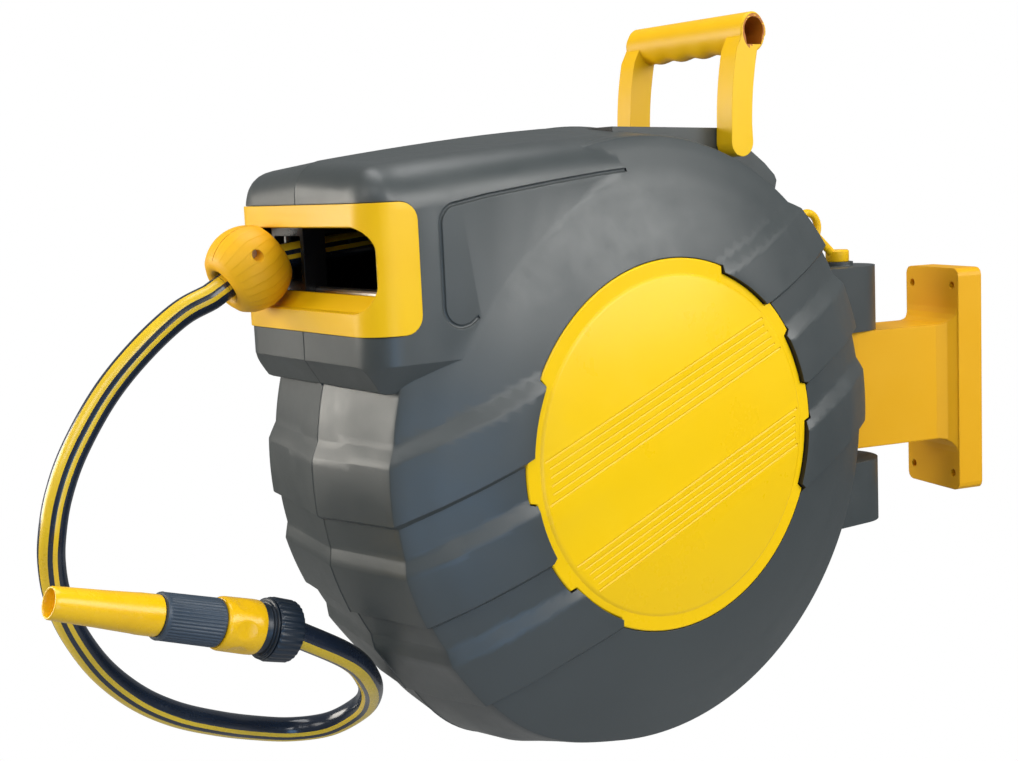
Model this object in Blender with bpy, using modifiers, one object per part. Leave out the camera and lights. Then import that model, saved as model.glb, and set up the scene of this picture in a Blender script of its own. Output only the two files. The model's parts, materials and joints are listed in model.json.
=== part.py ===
"""Automatic hose reel that hangs on a wall bracket. Blender 4.5, metres, +Z up.

Everything is first built in the case's own axes: X along the drum's axle with the yellow disc
cover at +X, Y from the outlet toward the wall, Z up, with the drum's centre at the origin.
The finished pieces are then hung on the bracket's pivot. The object's origin is the centre of
the wall plate's back face.
"""
import math

import bmesh
import bpy
from mathutils import Matrix, Vector

# General
GAP = 0.0003
WALL = 0.003
HOUSING_WALL = 0.006
SCREW_HOLE_ROOM = 0.0006

# Hose and how it lies on the drum
HOSE_OD = 0.0165
TURNS_ACROSS = 6
LAYERS = 4
CORE_RADIUS = 0.082
CORE_WALL = 0.003

# Stop ball
BALL_RADIUS = 0.027
BALL_OVERLAP = 0.0025
BALL_HALF_LENGTH = 0.0205
BALL_TILT = math.radians(30)
BALL_SCREW_TURN = math.radians(-12)
BALL_SCREW_OFFSET = 0.015
BALL_SCREW_RADIUS = 0.0016
BALL_SCREW_HEAD = 0.0032

# Outlet
MOUTH_HEIGHT = 0.1265
MOUTH_SIDE_ROOM = 0.01425
MOUTH_CORNER = 0.014
MOUTH_DEPTH = 0.014
SILL_RISE = 0.010
BEZEL_SIDE = 0.004
BEZEL_RIM = 0.0135
BEZEL_CORNER = 0.011
BEZEL_WRAP = 0.033
BEZEL_PROUD = 0.001
BEZEL_SHELL = 0.003
LIP_DROP = 0.0175
CHAMFER_DROP = 0.017
CHAMFER_IN = 0.011

# Case
CASE_RADIUS = 0.207
SHOULDER_DROP = 0.009
SHOULDER_INSET = 0.009
BEVEL_WIDTH = 0.011
BEVEL_DROP = 0.028
SIDE_CROWN = 0.013
FRONT_REACH = 0.004
HOUSING_RISE = 0.0614
TOP_TUCK = 0.0004
CORNER_RADIUS = 0.022
FRONT_EDGE_RADIUS = 0.018
SIDE_EDGE_RADIUS = 0.026
CORNER_EDGE_RADIUS = 0.010
REAR_TAPER = 0.006
SHELL_SIDES = 64
CAVITY_SIDES = 40
BAND_TILT = math.radians(21.2)
BAND_LIFT = 0.0038
BAND_LEDGE = 0.010
BAND_STEP = 0.003
BAND_SPANS = ((0.050, 0.083), (-0.016, 0.018), (-0.0815, -0.047))
FOOT_ANGLE = math.radians(238)
FOOT_HALF_SPREAD = math.radians(22)
FOOT_BULGE = 0.011
PANEL_GROOVE = 0.0012
PANEL_BACK = 0.048
PANEL_ABOVE_LIP = 0.019
PANEL_CORNER = 0.012
PANEL_BELOW_TOP = 0.0235

# Disc covers
DISC_RADIUS = 0.120
DISC_NOTCH = 0.0045
DISC_THICKNESS = 0.008
DISC_PROUD = 0.002
DISC_RIM = 0.008
DISC_RIM_DROP = 0.001
DISC_EDGE_GAP = 0.0005

# Wall bracket and its pivot
PIVOT_STANDOFF = 0.051
SWIVEL_REST = math.radians(14.1)
PLATE_WIDTH = 0.067
PLATE_HEIGHT = 0.177
PLATE_THICKNESS = 0.022
PLATE_CORNER = 0.006
ARM_LENGTH = 0.088
ARM_HALF_WIDTH = 0.025
ARM_TOP = 0.045
ARM_BOTTOM = -0.046
ARM_FILLET = 0.012
WALL_SCREW_PITCH_X = 0.051
WALL_SCREW_PITCH_Z = 0.150
WALL_SCREW_RADIUS = 0.003
PIN_RADIUS = 0.006
PIN_OVERHANG = 0.006
EAR_RADIUS = 0.0285
UPPER_EAR_HEIGHT = 0.050
LOWER_EAR_DROP = 0.010
LOWER_EAR_HEIGHT = 0.049
RING_RADIUS = 0.0115
RING_WIRE = 0.003
RING_FORWARD = 0.033
RING_RISE = 0.031
RING_HUB_RADIUS = 0.009
RING_HUB_HEIGHT = 0.009

# Carrying handle
HANDLE_Y = 0.101
HANDLE_STAND = 0.010
HANDLE_INNER_HALF = 0.046
POST_THICKNESS = 0.015
POST_HALF_WIDTH = 0.009
POST_FOOT_RADIUS = 0.010
GRIP_BACK = 0.013
GRIP_RISE = 0.074
GRIP_HALF_WIDTH = 0.0115
GRIP_HALF_HEIGHT = 0.0135
GRIP_WALL = 0.0027
FINGER_WAVE = 0.0009
FINGER_WAVES = 4
HANDLE_PIN_RADIUS = 0.004
BLOCK_TOP = 0.010
BLOCK_SLOPE = 0.003
BLOCK_FORWARD = 0.101

# Axle, bushes and inlet
AXLE_RADIUS = 0.014
AXLE_BORE = 0.0045
AXLE_BOSS_RADIUS = 0.020
AXLE_BOSS_LENGTH = 0.006
BUSH_WALL = 0.0036
BUSH_HALF_LENGTH = 0.007
INLET_REACH = 0.034
INLET_COLLAR_RADIUS = 0.018
INLET_NOSE_RADIUS = 0.0085

# Drum
FLANGE_ROOM = 0.019
FLANGE_THICKNESS = 0.003
HUB_WALL = 0.006
BARREL_DEPTH = 0.029
BARREL_WALL = 0.002
MAINSPRING_TURNS = 4
MAINSPRING_STRIP = 0.001
ELBOW_PIPE_RADIUS = 0.007
ELBOW_CHEEK = 0.006
ELBOW_WALL = 0.007
SEAL_WIRE = 0.0016

# Gear train and guide screw
DRUM_TEETH = 96
IDLER_TEETH = 24
SCREW_TEETH = 10
TRAIN_SLACK = 1.03
GEAR_WIDTH = 0.005
GEAR_PLANE_ROOM = 0.0025
TOOTH_SHARE = 0.42
TOOTH_SLOPE = math.radians(20)
ADDENDUM = 0.80
DEDENDUM = 1.15
SCREW_BACK = 0.041
SCREW_RISE = 0.0285
SCREW_RADIUS = 0.006
JOURNAL_RADIUS = 0.0035
IDLER_PIN_RADIUS = 0.004

# Hose guide
ROD_BACK = 0.024
ROD_DROP = 0.0165
ROD_RADIUS = 0.0035
EYE_RISE = 0.0075
CARRIAGE_HALF_WIDTH = 0.021
CARRIAGE_CHEEK = 0.0038
CARRIAGE_FRONT_DEPTH = 0.0155
CARRIAGE_BAR = 0.006
ROLLER_RADIUS = 0.004
ROLLER_ROOM = 0.0005
ROLLER_STUB = 0.0017
ROLLER_STUB_LENGTH = 0.002

# Ratchet
RATCHET_TEETH = 12
RATCHET_RADIUS = 0.100
RATCHET_DEPTH = 0.005
RATCHET_RING = 0.011
RATCHET_WIDTH = 0.006
PAWL_ANGLE = math.radians(200)
PAWL_REACH_ANGLE = math.radians(13)
PAWL_PIVOT_OUT = 0.018
PAWL_LIFT = 0.0015
PAWL_HUB = 0.007
PAWL_PIN_RADIUS = 0.003

# Case screws
CASE_SCREW_ANGLES = (48.6, 217.5, 288.5, 340.5)
CASE_SCREW_INSET = 0.018
CASE_SCREW_BOSS = 0.007
CASE_SCREW_RADIUS = 0.002
CASE_SCREW_HEAD = 0.0042
CASE_SCREW_HEAD_HEIGHT = 0.0035
CASE_SCREW_LENGTH = 0.084
CASE_SCREW_START = -0.058

# Free hose: where its middle line runs in the case's axes, from the ball to the nut
ROUTE = (
    (-0.044, -0.271, 0.102),
    (-0.046, -0.297, 0.082),
    (-0.050, -0.320, 0.057),
    (-0.053, -0.340, 0.026),
    (-0.055, -0.351, 0.0),
    (-0.057, -0.356, -0.023),
    (-0.062, -0.356, -0.042),
    (-0.067, -0.3525, -0.063),
    (-0.073, -0.343, -0.088),
    (-0.079, -0.3255, -0.117),
    (-0.084, -0.302, -0.142),
    (-0.086, -0.2765, -0.160),
    (-0.091, -0.2465, -0.175),
    (-0.0995, -0.2165, -0.188),
    (-0.0985, -0.188, -0.196),
    (-0.0835, -0.166, -0.1935),
    (-0.0615, -0.1545, -0.1795),
    (-0.039, -0.158, -0.163),
    (-0.0145, -0.1725, -0.142),
    (0.0, -0.1935, -0.120),
)
HOSE_STEP = 0.024

# Nozzle set, along its own axis from the front of the nut
NUT_CENTRE = (0.0025, -0.2505, -0.089)
NOZZLE_TIP = (0.009, -0.3825, -0.045)
NUT_BACK = 0.0175
NUT_RADIUS = 0.0190
NUT_RIB = 0.0007
NUT_RIBS = 28
BODY_RADIUS = 0.0150
BODY_LENGTH = 0.028
BODY_STEP_RISE = 0.0018
BODY_STEP_LENGTH = 0.0012
BODY_WALL = 0.0035
COLLAR_START = 0.0077
COLLAR_RADIUS = 0.0166
GRIP_START = 0.034
GRIP_END = 0.073
NOZZLE_GRIP_RADIUS = 0.0138
NOZZLE_FLUTE = 0.0008
NOZZLE_FLUTES = 16
STEM_RADIUS = 0.0080
STEM_IN = 0.014
SPOUT_RADIUS = 0.0060
BARREL_BACK_RADIUS = 0.0123
BARREL_TIP_RADIUS = 0.0094
BARREL_SHELL = 0.0022

# Sizes that follow from those above
TRAVEL = (TURNS_ACROSS - 1) * HOSE_OD
PACK_HALF = TURNS_ACROSS * HOSE_OD / 2
LAYER_PITCH = HOSE_OD * math.sqrt(3) / 2
PACK_RADIUS = CORE_RADIUS + GAP + HOSE_OD + (LAYERS - 1) * LAYER_PITCH
LEAD_RADIUS = PACK_RADIUS + GAP + HOSE_OD / 2
MOUTH_HALF_HEIGHT = BALL_RADIUS - BALL_OVERLAP
MOUTH_HALF_WIDTH = TRAVEL / 2 + MOUTH_HALF_HEIGHT + MOUTH_SIDE_ROOM
HOUSING_HALF = MOUTH_HALF_WIDTH + BEZEL_SIDE
FRONT_Y = -(CASE_RADIUS + FRONT_REACH)
TOP_FALL = CASE_RADIUS - TOP_TUCK - HOUSING_RISE - MOUTH_HEIGHT
BEZEL_HALF_HEIGHT = MOUTH_HALF_HEIGHT + BEZEL_RIM
LIP_Z = MOUTH_HEIGHT - BEZEL_HALF_HEIGHT - LIP_DROP
SHOULDER_X = HOUSING_HALF - SHOULDER_INSET
SHOULDER_RADIUS = CASE_RADIUS - SHOULDER_DROP
CREASE_X = SHOULDER_X + BEVEL_WIDTH
CREASE_RADIUS = SHOULDER_RADIUS - BEVEL_DROP
SIDE_X = CREASE_X + SIDE_CROWN
DISC_BACK_X = SIDE_X + DISC_PROUD - DISC_THICKNESS
POCKET_X = DISC_BACK_X - GAP
CAVITY_X = POCKET_X - WALL
PIVOT_Y = CASE_RADIUS + PIVOT_STANDOFF
WALL_DISTANCE = ARM_LENGTH + PLATE_THICKNESS
HANDLE_Z = math.sqrt((CASE_RADIUS + HANDLE_STAND) ** 2 - HANDLE_Y**2)
GRIP_Y = HANDLE_Y + GRIP_BACK
GRIP_Z = HANDLE_Z + GRIP_RISE
POST_OUTER = HANDLE_INNER_HALF + POST_THICKNESS
UPPER_EAR_BOTTOM = ARM_TOP + GAP
UPPER_EAR_TOP = UPPER_EAR_BOTTOM + UPPER_EAR_HEIGHT
LOWER_EAR_TOP = ARM_BOTTOM - LOWER_EAR_DROP
LOWER_EAR_BOTTOM = LOWER_EAR_TOP - LOWER_EAR_HEIGHT
FLANGE_RADIUS = SHOULDER_RADIUS - WALL - FLANGE_ROOM
FLANGE_X = PACK_HALF + 2 * GAP
DRUM_SIDE_X = FLANGE_X + FLANGE_THICKNESS + GAP
BUSH_RADIUS = AXLE_RADIUS + GAP + BUSH_WALL
HUB_RADIUS = BUSH_RADIUS + GAP + HUB_WALL
BARREL_RADIUS = CORE_RADIUS - CORE_WALL - 0.001
EYE_Z = MOUTH_HEIGHT + EYE_RISE
ROD_Y = FRONT_Y + ROD_BACK
ROD_Z = MOUTH_HEIGHT - ROD_DROP
SCREW_Y = FRONT_Y + SCREW_BACK
SCREW_Z = MOUTH_HEIGHT + SCREW_RISE
SCREW_CENTRE = Vector((0.0, SCREW_Y, SCREW_Z))
CARRIAGE_X = -TRAVEL / 2
BALL_SECTION = MOUTH_HALF_HEIGHT - 0.0005
BALL_Y = FRONT_Y - BEZEL_PROUD - math.sqrt(BALL_RADIUS**2 - BALL_SECTION**2)
BALL_CENTRE = Vector((CARRIAGE_X, BALL_Y, MOUTH_HEIGHT))
BALL_AXIS = Vector((0.0, -math.cos(BALL_TILT), -math.sin(BALL_TILT)))
GEAR_INNER_X = TRAVEL / 2 + CARRIAGE_HALF_WIDTH + GEAR_PLANE_ROOM
GEAR_OUTER_X = GEAR_INNER_X + GEAR_WIDTH
MODULE = TRAIN_SLACK * SCREW_CENTRE.length / ((DRUM_TEETH + SCREW_TEETH) / 2 + IDLER_TEETH)
HOUSING_INNER_HALF = HOUSING_HALF - HOUSING_WALL
CASE_SCREW_CIRCLE = CASE_RADIUS - CASE_SCREW_INSET
RATCHET_X = DRUM_SIDE_X
PAWL_PIVOT_RADIUS = RATCHET_RADIUS + PAWL_PIVOT_OUT

YELLOW = (0.93, 0.60, 0.010)
CASE_GREY = (0.070, 0.085, 0.092)
BLACK = (0.012, 0.013, 0.014)
HOSE_BLUE = (0.013, 0.021, 0.032)
NOZZLE_GREY = (0.062, 0.090, 0.130)
STEEL = (0.62, 0.62, 0.61)
BRASS = (0.70, 0.50, 0.20)
ZINC = (0.55, 0.56, 0.57)


# Scene helpers
def clear_scene():
    for old in list(bpy.data.objects):
        bpy.data.objects.remove(old, do_unlink=True)


def new_collection(name):
    collection = bpy.data.collections.new(name)
    bpy.context.scene.collection.children.link(collection)
    return collection


def new_material(name, colour, roughness, metallic=0.0):
    material = bpy.data.materials.new(name)
    material.use_nodes = True
    shader = material.node_tree.nodes["Principled BSDF"]
    shader.inputs["Base Color"].default_value = (*colour, 1.0)
    shader.inputs["Roughness"].default_value = roughness
    shader.inputs["Metallic"].default_value = metallic
    material.diffuse_color = (*colour, 1.0)
    return material


def add_object(name, data, collection=None):
    item = bpy.data.objects.new(name, data)
    (collection or PARTS).objects.link(item)
    return item


def object_from_bmesh(name, bm):
    bmesh.ops.recalc_face_normals(bm, faces=bm.faces)
    mesh = bpy.data.meshes.new(name)
    bm.to_mesh(mesh)
    bm.free()
    return add_object(name, mesh)


def bake(item, recalculate=True):
    """Replace the object's curve or modifiers by the mesh that they make."""
    bpy.context.view_layer.update()
    graph = bpy.context.evaluated_depsgraph_get()
    mesh = bpy.data.meshes.new_from_object(item.evaluated_get(graph))
    bm = bmesh.new()
    bm.from_mesh(mesh)
    bmesh.ops.remove_doubles(bm, verts=bm.verts, dist=1e-6)
    if recalculate:
        bmesh.ops.recalc_face_normals(bm, faces=bm.faces)
    bm.to_mesh(mesh)
    bm.free()
    name = item.name
    collection = item.users_collection[0]
    bpy.data.objects.remove(item, do_unlink=True)
    mesh.name = name
    return add_object(name, mesh, collection)


def combine(target, operation, tools):
    """Boolean the tools into the target one after another and drop them.

    The faces keep their own directions, because a hollow's faces point into it.
    """
    for tool in tools:
        tool.display_type = "WIRE"
        tool.hide_render = True
        for collection in tool.users_collection:
            collection.objects.unlink(tool)
        CUTTERS.objects.link(tool)
        modifier = target.modifiers.new(operation.title(), "BOOLEAN")
        modifier.operation = operation
        modifier.solver = "EXACT"
        modifier.object = tool
    target = bake(target, recalculate=False)
    for tool in tools:
        bpy.data.objects.remove(tool, do_unlink=True)
    return target


def cut(target, *tools):
    return combine(target, "DIFFERENCE", tools)


def fuse(target, *tools):
    return combine(target, "UNION", tools)


def keep_inside(target, *tools):
    return combine(target, "INTERSECT", tools)


# Turning frames: local z runs along the named axis
AXES = {
    "X": Matrix(((0, 0, 1), (1, 0, 0), (0, 1, 0))).to_4x4(),
    "Y": Matrix(((1, 0, 0), (0, 0, -1), (0, 1, 0))).to_4x4() @ Matrix.Rotation(math.pi, 4, "X"),
    "Z": Matrix.Identity(4),
}


def along(direction, point=(0.0, 0.0, 0.0)):
    """Frame whose z axis runs along the direction, with its x axis as level as can be."""
    z = Vector(direction).normalized()
    side = Vector((1.0, 0.0, 0.0)) if abs(z.x) < 0.9 else Vector((0.0, 1.0, 0.0))
    y = z.cross(side).normalized()
    x = y.cross(z)
    frame = Matrix((x, y, z)).transposed().to_4x4()
    frame.translation = Vector(point)
    return frame


def moved(item, matrix):
    item.data.transform(matrix)
    return item


# Shapes
def box(name, x, y, z):
    """Box between the two ends given on each axis."""
    bm = bmesh.new()
    bmesh.ops.create_cube(bm, size=1.0)
    size = (x[1] - x[0], y[1] - y[0], z[1] - z[0])
    centre = ((x[0] + x[1]) / 2, (y[0] + y[1]) / 2, (z[0] + z[1]) / 2)
    bmesh.ops.scale(bm, vec=size, verts=bm.verts)
    bmesh.ops.translate(bm, vec=centre, verts=bm.verts)
    return object_from_bmesh(name, bm)


def cylinder(name, axis, start, end, radius, centre=(0.0, 0.0), sides=24):
    """Cylinder along X, Y or Z; centre is its place on the two other axes, in order."""
    bm = bmesh.new()
    bmesh.ops.create_cone(
        bm, cap_ends=True, segments=sides, radius1=radius, radius2=radius, depth=end - start
    )
    bmesh.ops.translate(bm, vec=(0, 0, (start + end) / 2), verts=bm.verts)
    bmesh.ops.transform(bm, matrix=AXES[axis], verts=bm.verts)
    a, b = centre
    shift = {"X": (0, a, b), "Y": (a, 0, b), "Z": (a, b, 0)}[axis]
    bmesh.ops.translate(bm, vec=shift, verts=bm.verts)
    return object_from_bmesh(name, bm)


def turned(name, profile, sides, axis="X", closed=True):
    """Profile of (radius, height) points turned about the axis with a Screw modifier."""
    count = len(profile)
    links = [(i, i + 1) for i in range(count - 1)]
    if closed:
        links.append((count - 1, 0))
    mesh = bpy.data.meshes.new(name)
    mesh.from_pydata([(radius, 0.0, height) for radius, height in profile], links, [])
    item = add_object(name, mesh)
    screw = item.modifiers.new("Turn", "SCREW")
    screw.axis = "Z"
    screw.steps = sides
    screw.render_steps = sides
    screw.use_merge_vertices = True
    screw.merge_threshold = 0.00001
    item = bake(item)
    return moved(item, AXES[axis])


def ring(name, inner, outer, start, end, sides=32, axis="X"):
    return turned(name, [(inner, start), (outer, start), (outer, end), (inner, end)], sides, axis)


def extruded(name, loops, plane, start, end):
    """Flat outline, with any holes as further loops, drawn on YZ, XZ or XY and given depth."""
    curve = bpy.data.curves.new(name, "CURVE")
    curve.dimensions = "2D"
    curve.fill_mode = "BOTH"
    curve.extrude = (end - start) / 2
    curve.resolution_u = 1
    for loop in loops:
        spline = curve.splines.new("POLY")
        spline.points.add(len(loop) - 1)
        for point, (a, b) in zip(spline.points, loop):
            point.co = (a, b, 0.0, 1.0)
        spline.use_cyclic_u = True
    item = bake(add_object(name, curve))
    moved(item, Matrix.Translation((0, 0, (start + end) / 2)))
    turn = {"YZ": AXES["X"], "XY": AXES["Z"]}.get(plane)
    if turn is None:
        turn = Matrix(((1, 0, 0), (0, 0, -1), (0, 1, 0))).to_4x4()
    return moved(item, turn)


def lofted(name, rings):
    """Skin between rings of equal count, with flat ends."""
    bm = bmesh.new()
    rows = [[bm.verts.new(point) for point in loop] for loop in rings]
    for row, following in zip(rows, rows[1:]):
        for i in range(len(row)):
            j = (i + 1) % len(row)
            bm.faces.new((row[i], row[j], following[j], following[i]))
    bm.faces.new(rows[0])
    bm.faces.new(rows[-1])
    return object_from_bmesh(name, bm)


def tube(name, points, radius, roundness=2):
    """Round tube along the points, with flat ends."""
    curve = bpy.data.curves.new(name, "CURVE")
    curve.dimensions = "3D"
    curve.bevel_depth = radius
    curve.bevel_resolution = roundness
    curve.use_fill_caps = True
    curve.twist_mode = "MINIMUM"
    spline = curve.splines.new("POLY")
    spline.points.add(len(points) - 1)
    for point, place in zip(spline.points, points):
        point.co = (*place, 1.0)
    return bake(add_object(name, curve))


def arc(centre, radius, start, end, steps):
    """Points of an arc from the start angle to the end angle, both kept."""
    cy, cz = centre
    points = []
    for i in range(steps + 1):
        angle = start + (end - start) * i / steps
        points.append((cy + radius * math.cos(angle), cz + radius * math.sin(angle)))
    return points


def rounded_rectangle(low, high, radius, steps=3):
    """Outline between two opposite corners, with every corner rounded alike."""
    (a0, b0), (a1, b1) = low, high
    quarter = math.pi / 2
    corners = [
        ((a1 - radius, b1 - radius), 0.0),
        ((a0 + radius, b1 - radius), quarter),
        ((a0 + radius, b0 + radius), 2 * quarter),
        ((a1 - radius, b0 + radius), 3 * quarter),
    ]
    points = []
    for centre, angle in corners:
        points += arc(centre, radius, angle, angle + quarter, steps)
    return points


def toothed_outline(teeth, root, tip, root_share, tip_share, phase=0.0):
    """Outline with flat-topped teeth; shares are of the pitch at the root and at the tip."""
    pitch = 2 * math.pi / teeth
    points = []
    for i in range(teeth):
        middle = phase + i * pitch
        steps = ((root, -root_share), (tip, -tip_share), (tip, tip_share), (root, root_share))
        for radius, share in steps:
            angle = middle + share * pitch / 2
            points.append((radius * math.cos(angle), radius * math.sin(angle)))
    return points


def circle(radius, sides):
    return [
        (radius * math.cos(2 * math.pi * i / sides), radius * math.sin(2 * math.pi * i / sides))
        for i in range(sides)
    ]


def smooth_route(points, spacing):
    """Catmull-Rom curve through the points, read at a nearly even spacing."""
    fine = []
    path = [Vector(p) for p in points]
    path = [path[0] * 2 - path[1]] + path + [path[-1] * 2 - path[-2]]
    for a, b, c, d in zip(path, path[1:], path[2:], path[3:]):
        for i in range(12):
            t = i / 12
            fine.append(
                0.5
                * (
                    2 * b
                    + (c - a) * t
                    + (2 * a - 5 * b + 4 * c - d) * t**2
                    + (3 * b - a - 3 * c + d) * t**3
                )
            )
    fine.append(path[-2])
    total = sum((q - p).length for p, q in zip(fine, fine[1:]))
    count = max(2, round(total / spacing))
    result = [fine[0]]
    walked = 0.0
    for p, q in zip(fine, fine[1:]):
        step = (q - p).length
        while len(result) < count and walked + step >= total * len(result) / count:
            share = (total * len(result) / count - walked) / step
            result.append(p.lerp(q, share))
        walked += step
    result.append(fine[-1])
    return result


# Case
def tread_radius(x):
    return CASE_RADIUS - SHOULDER_DROP * abs(x) / SHOULDER_X


def band_height(y, z):
    return -y * math.sin(BAND_TILT) + z * math.cos(BAND_TILT)


def band_lift(height):
    """How far the shell stands out at this place across the bands, from 0 to 1."""
    for low, high in BAND_SPANS:
        if low <= height <= high:
            return 1.0
        if low - BAND_STEP < height < low:
            return (height - low + BAND_STEP) / BAND_STEP
        if high < height < high + BAND_LEDGE:
            return (high + BAND_LEDGE - height) / BAND_LEDGE
    return 0.0


def foot_bulge(y, z):
    turn = (math.atan2(z, y) - FOOT_ANGLE + math.pi) % (2 * math.pi) - math.pi
    if abs(turn) >= FOOT_HALF_SPREAD:
        return 0.0
    return FOOT_BULGE * math.cos(turn / FOOT_HALF_SPREAD * math.pi / 2) ** 2


def drum_shell_profile():
    """Outer side of the round case, from the +X middle over the tread to the -X middle."""
    half = [
        (0.0, SIDE_X),
        (DISC_RADIUS - 2 * DISC_NOTCH, SIDE_X),
        (DISC_RADIUS, SIDE_X),
        (CREASE_RADIUS, CREASE_X),
        (SHOULDER_RADIUS, SHOULDER_X),
        (tread_radius(SHOULDER_X * 0.82), SHOULDER_X * 0.82),
    ]
    return half + [(CASE_RADIUS, 0.0)] + [(r, -x) for r, x in reversed(half)]


def outward(x, radius):
    """Direction in which a band lifts the shell at this place, as parts along X and outward."""
    side = abs(x)
    if side <= SHOULDER_X * 0.9:
        return 0.0, 1.0
    if side <= SHOULDER_X + 0.001:
        return math.copysign(0.55, x), 1.0
    if side <= CREASE_X + 0.001:
        return math.copysign(1.05, x), 0.55
    return math.copysign(1.0, x), 0.0


def drum_shell():
    shell = turned("shell", drum_shell_profile(), SHELL_SIDES, closed=False)
    bm = bmesh.new()
    bm.from_mesh(shell.data)
    across = Vector((0.0, -math.sin(BAND_TILT), math.cos(BAND_TILT)))
    for low, high in BAND_SPANS:
        for height in (low - BAND_STEP, low, high, high + BAND_LEDGE):
            everything = bm.verts[:] + bm.edges[:] + bm.faces[:]
            bmesh.ops.bisect_plane(
                bm, geom=everything, dist=1e-6, plane_co=across * height, plane_no=across
            )
    reach = DISC_RADIUS - 2.5 * DISC_NOTCH
    for vertex in bm.verts:
        x, y, z = vertex.co
        radius = math.hypot(y, z)
        if radius < reach:
            continue
        lift = BAND_LIFT * band_lift(band_height(y, z))
        along_x, out = outward(x, radius)
        bulge = foot_bulge(y, z)
        if abs(x) > CREASE_X - 0.001:
            bulge = 0.0
        elif abs(x) > SHOULDER_X - 0.001:
            bulge *= 0.35
        elif abs(x) > SHOULDER_X * 0.5:
            bulge *= 0.9
        grow = 1 + (lift * out + bulge) / radius
        vertex.co = (x + lift * along_x, y * grow, z * grow)
    bm.to_mesh(shell.data)
    bm.free()
    return shell


def housing_top(x, y):
    share = max(0.0, -y / -FRONT_Y)
    tent = SHOULDER_DROP * abs(x) / SHOULDER_X * (1 - 0.5 * share)
    return CASE_RADIUS - TOP_TUCK - TOP_FALL * share**1.5 - tent


def rounded_inset(radius, distance):
    """How far a rounded edge still stands back at this distance behind the face."""
    if distance >= radius:
        return 0.0
    return radius - math.sqrt(radius**2 - (radius - distance) ** 2)


def housing(name, grow=0.0):
    """Body of the outlet housing, lofted from its front face back to the drum's middle."""
    front = FRONT_Y - grow
    stations = [0.0, 0.0012, 0.004, 0.009, 0.015, CORNER_RADIUS, 0.045, 0.080, 0.120, 0.160]
    rings = []
    for distance in stations + [-front]:
        y = min(front + distance, 0.0)
        rear = max(0.0, 1.0 + y / 0.10)
        half = HOUSING_HALF + grow - REAR_TAPER * rear**2
        half -= rounded_inset(CORNER_RADIUS, distance)
        drop = rounded_inset(FRONT_EDGE_RADIUS, distance)
        edge = SIDE_EDGE_RADIUS + grow
        edge -= (SIDE_EDGE_RADIUS - CORNER_EDGE_RADIUS) * max(0.0, 1 - distance / CORNER_RADIUS)
        chamfer = min(1.0, distance / CHAMFER_IN)
        lip = LIP_Z - grow
        bottom = lip - max(chamfer, 0.02) * CHAMFER_DROP
        low_half = half - max(chamfer, 0.02) * CHAMFER_IN
        right = [(0.0, bottom), (low_half, bottom), (half, lip)]
        for i in range(5):
            angle = math.pi / 2 * i / 4
            x = half - edge * (1 - math.cos(angle))
            z = housing_top(x, y) + grow - drop - edge * (1 - math.sin(angle))
            right.append((x, z))
        right.append((0.0, housing_top(0.0, y) + grow - drop))
        left = [(-x, z) for x, z in reversed(right[1:-1])]
        rings.append([(x, y, z) for x, z in right + left])
    return lofted(name, rings)


def bezel_region(name, grow):
    """Block that holds the bezel's reach: the outlet's front and both of its corners."""
    low = (FRONT_Y - 0.05, MOUTH_HEIGHT - BEZEL_HALF_HEIGHT - grow)
    high = (FRONT_Y + BEZEL_WRAP + grow, MOUTH_HEIGHT + BEZEL_HALF_HEIGHT + grow)
    outline = rounded_rectangle(low, high, BEZEL_CORNER + grow)
    return extruded(name, [outline], "YZ", -2 * HOUSING_HALF, 2 * HOUSING_HALF)


def mouth_outline(grow):
    low = (-MOUTH_HALF_WIDTH - grow, MOUTH_HEIGHT - MOUTH_HALF_HEIGHT - grow)
    high = (MOUTH_HALF_WIDTH + grow, MOUTH_HEIGHT + MOUTH_HALF_HEIGHT + grow)
    return rounded_rectangle(low, high, MOUTH_CORNER + grow, 4)


def mouth_block(name, grow, start, end):
    """Rounded bar through the outlet, larger than the mouth by grow."""
    return extruded(name, [mouth_outline(grow)], "XZ", -end, -start)


def build_bezel():
    bezel = bezel_region("bezel", 0.0)
    bezel = keep_inside(bezel, housing("outer", BEZEL_PROUD))
    bezel = cut(bezel, housing("inner", -BEZEL_SHELL))
    neck_front = FRONT_Y + BEZEL_SHELL * 0.5
    neck = mouth_block("neck", BEZEL_SHELL, neck_front, FRONT_Y - BEZEL_PROUD + MOUTH_DEPTH)
    neck = keep_inside(neck, housing("outer"))
    bezel = fuse(bezel, neck)
    front = FRONT_Y - BEZEL_PROUD - 0.001
    back = FRONT_Y - BEZEL_PROUD + MOUTH_DEPTH + 0.001
    rings = []
    for y, rise in ((front, 0.0), (front + MOUTH_DEPTH * 0.4, 0.0), (back, SILL_RISE)):
        loop = []
        for x, z in mouth_outline(0.0):
            share = max(0.0, (MOUTH_HEIGHT - z) / MOUTH_HALF_HEIGHT)
            loop.append((x, y, z + rise * share))
        rings.append(loop)
    return cut(bezel, lofted("mouth", rings))


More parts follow.
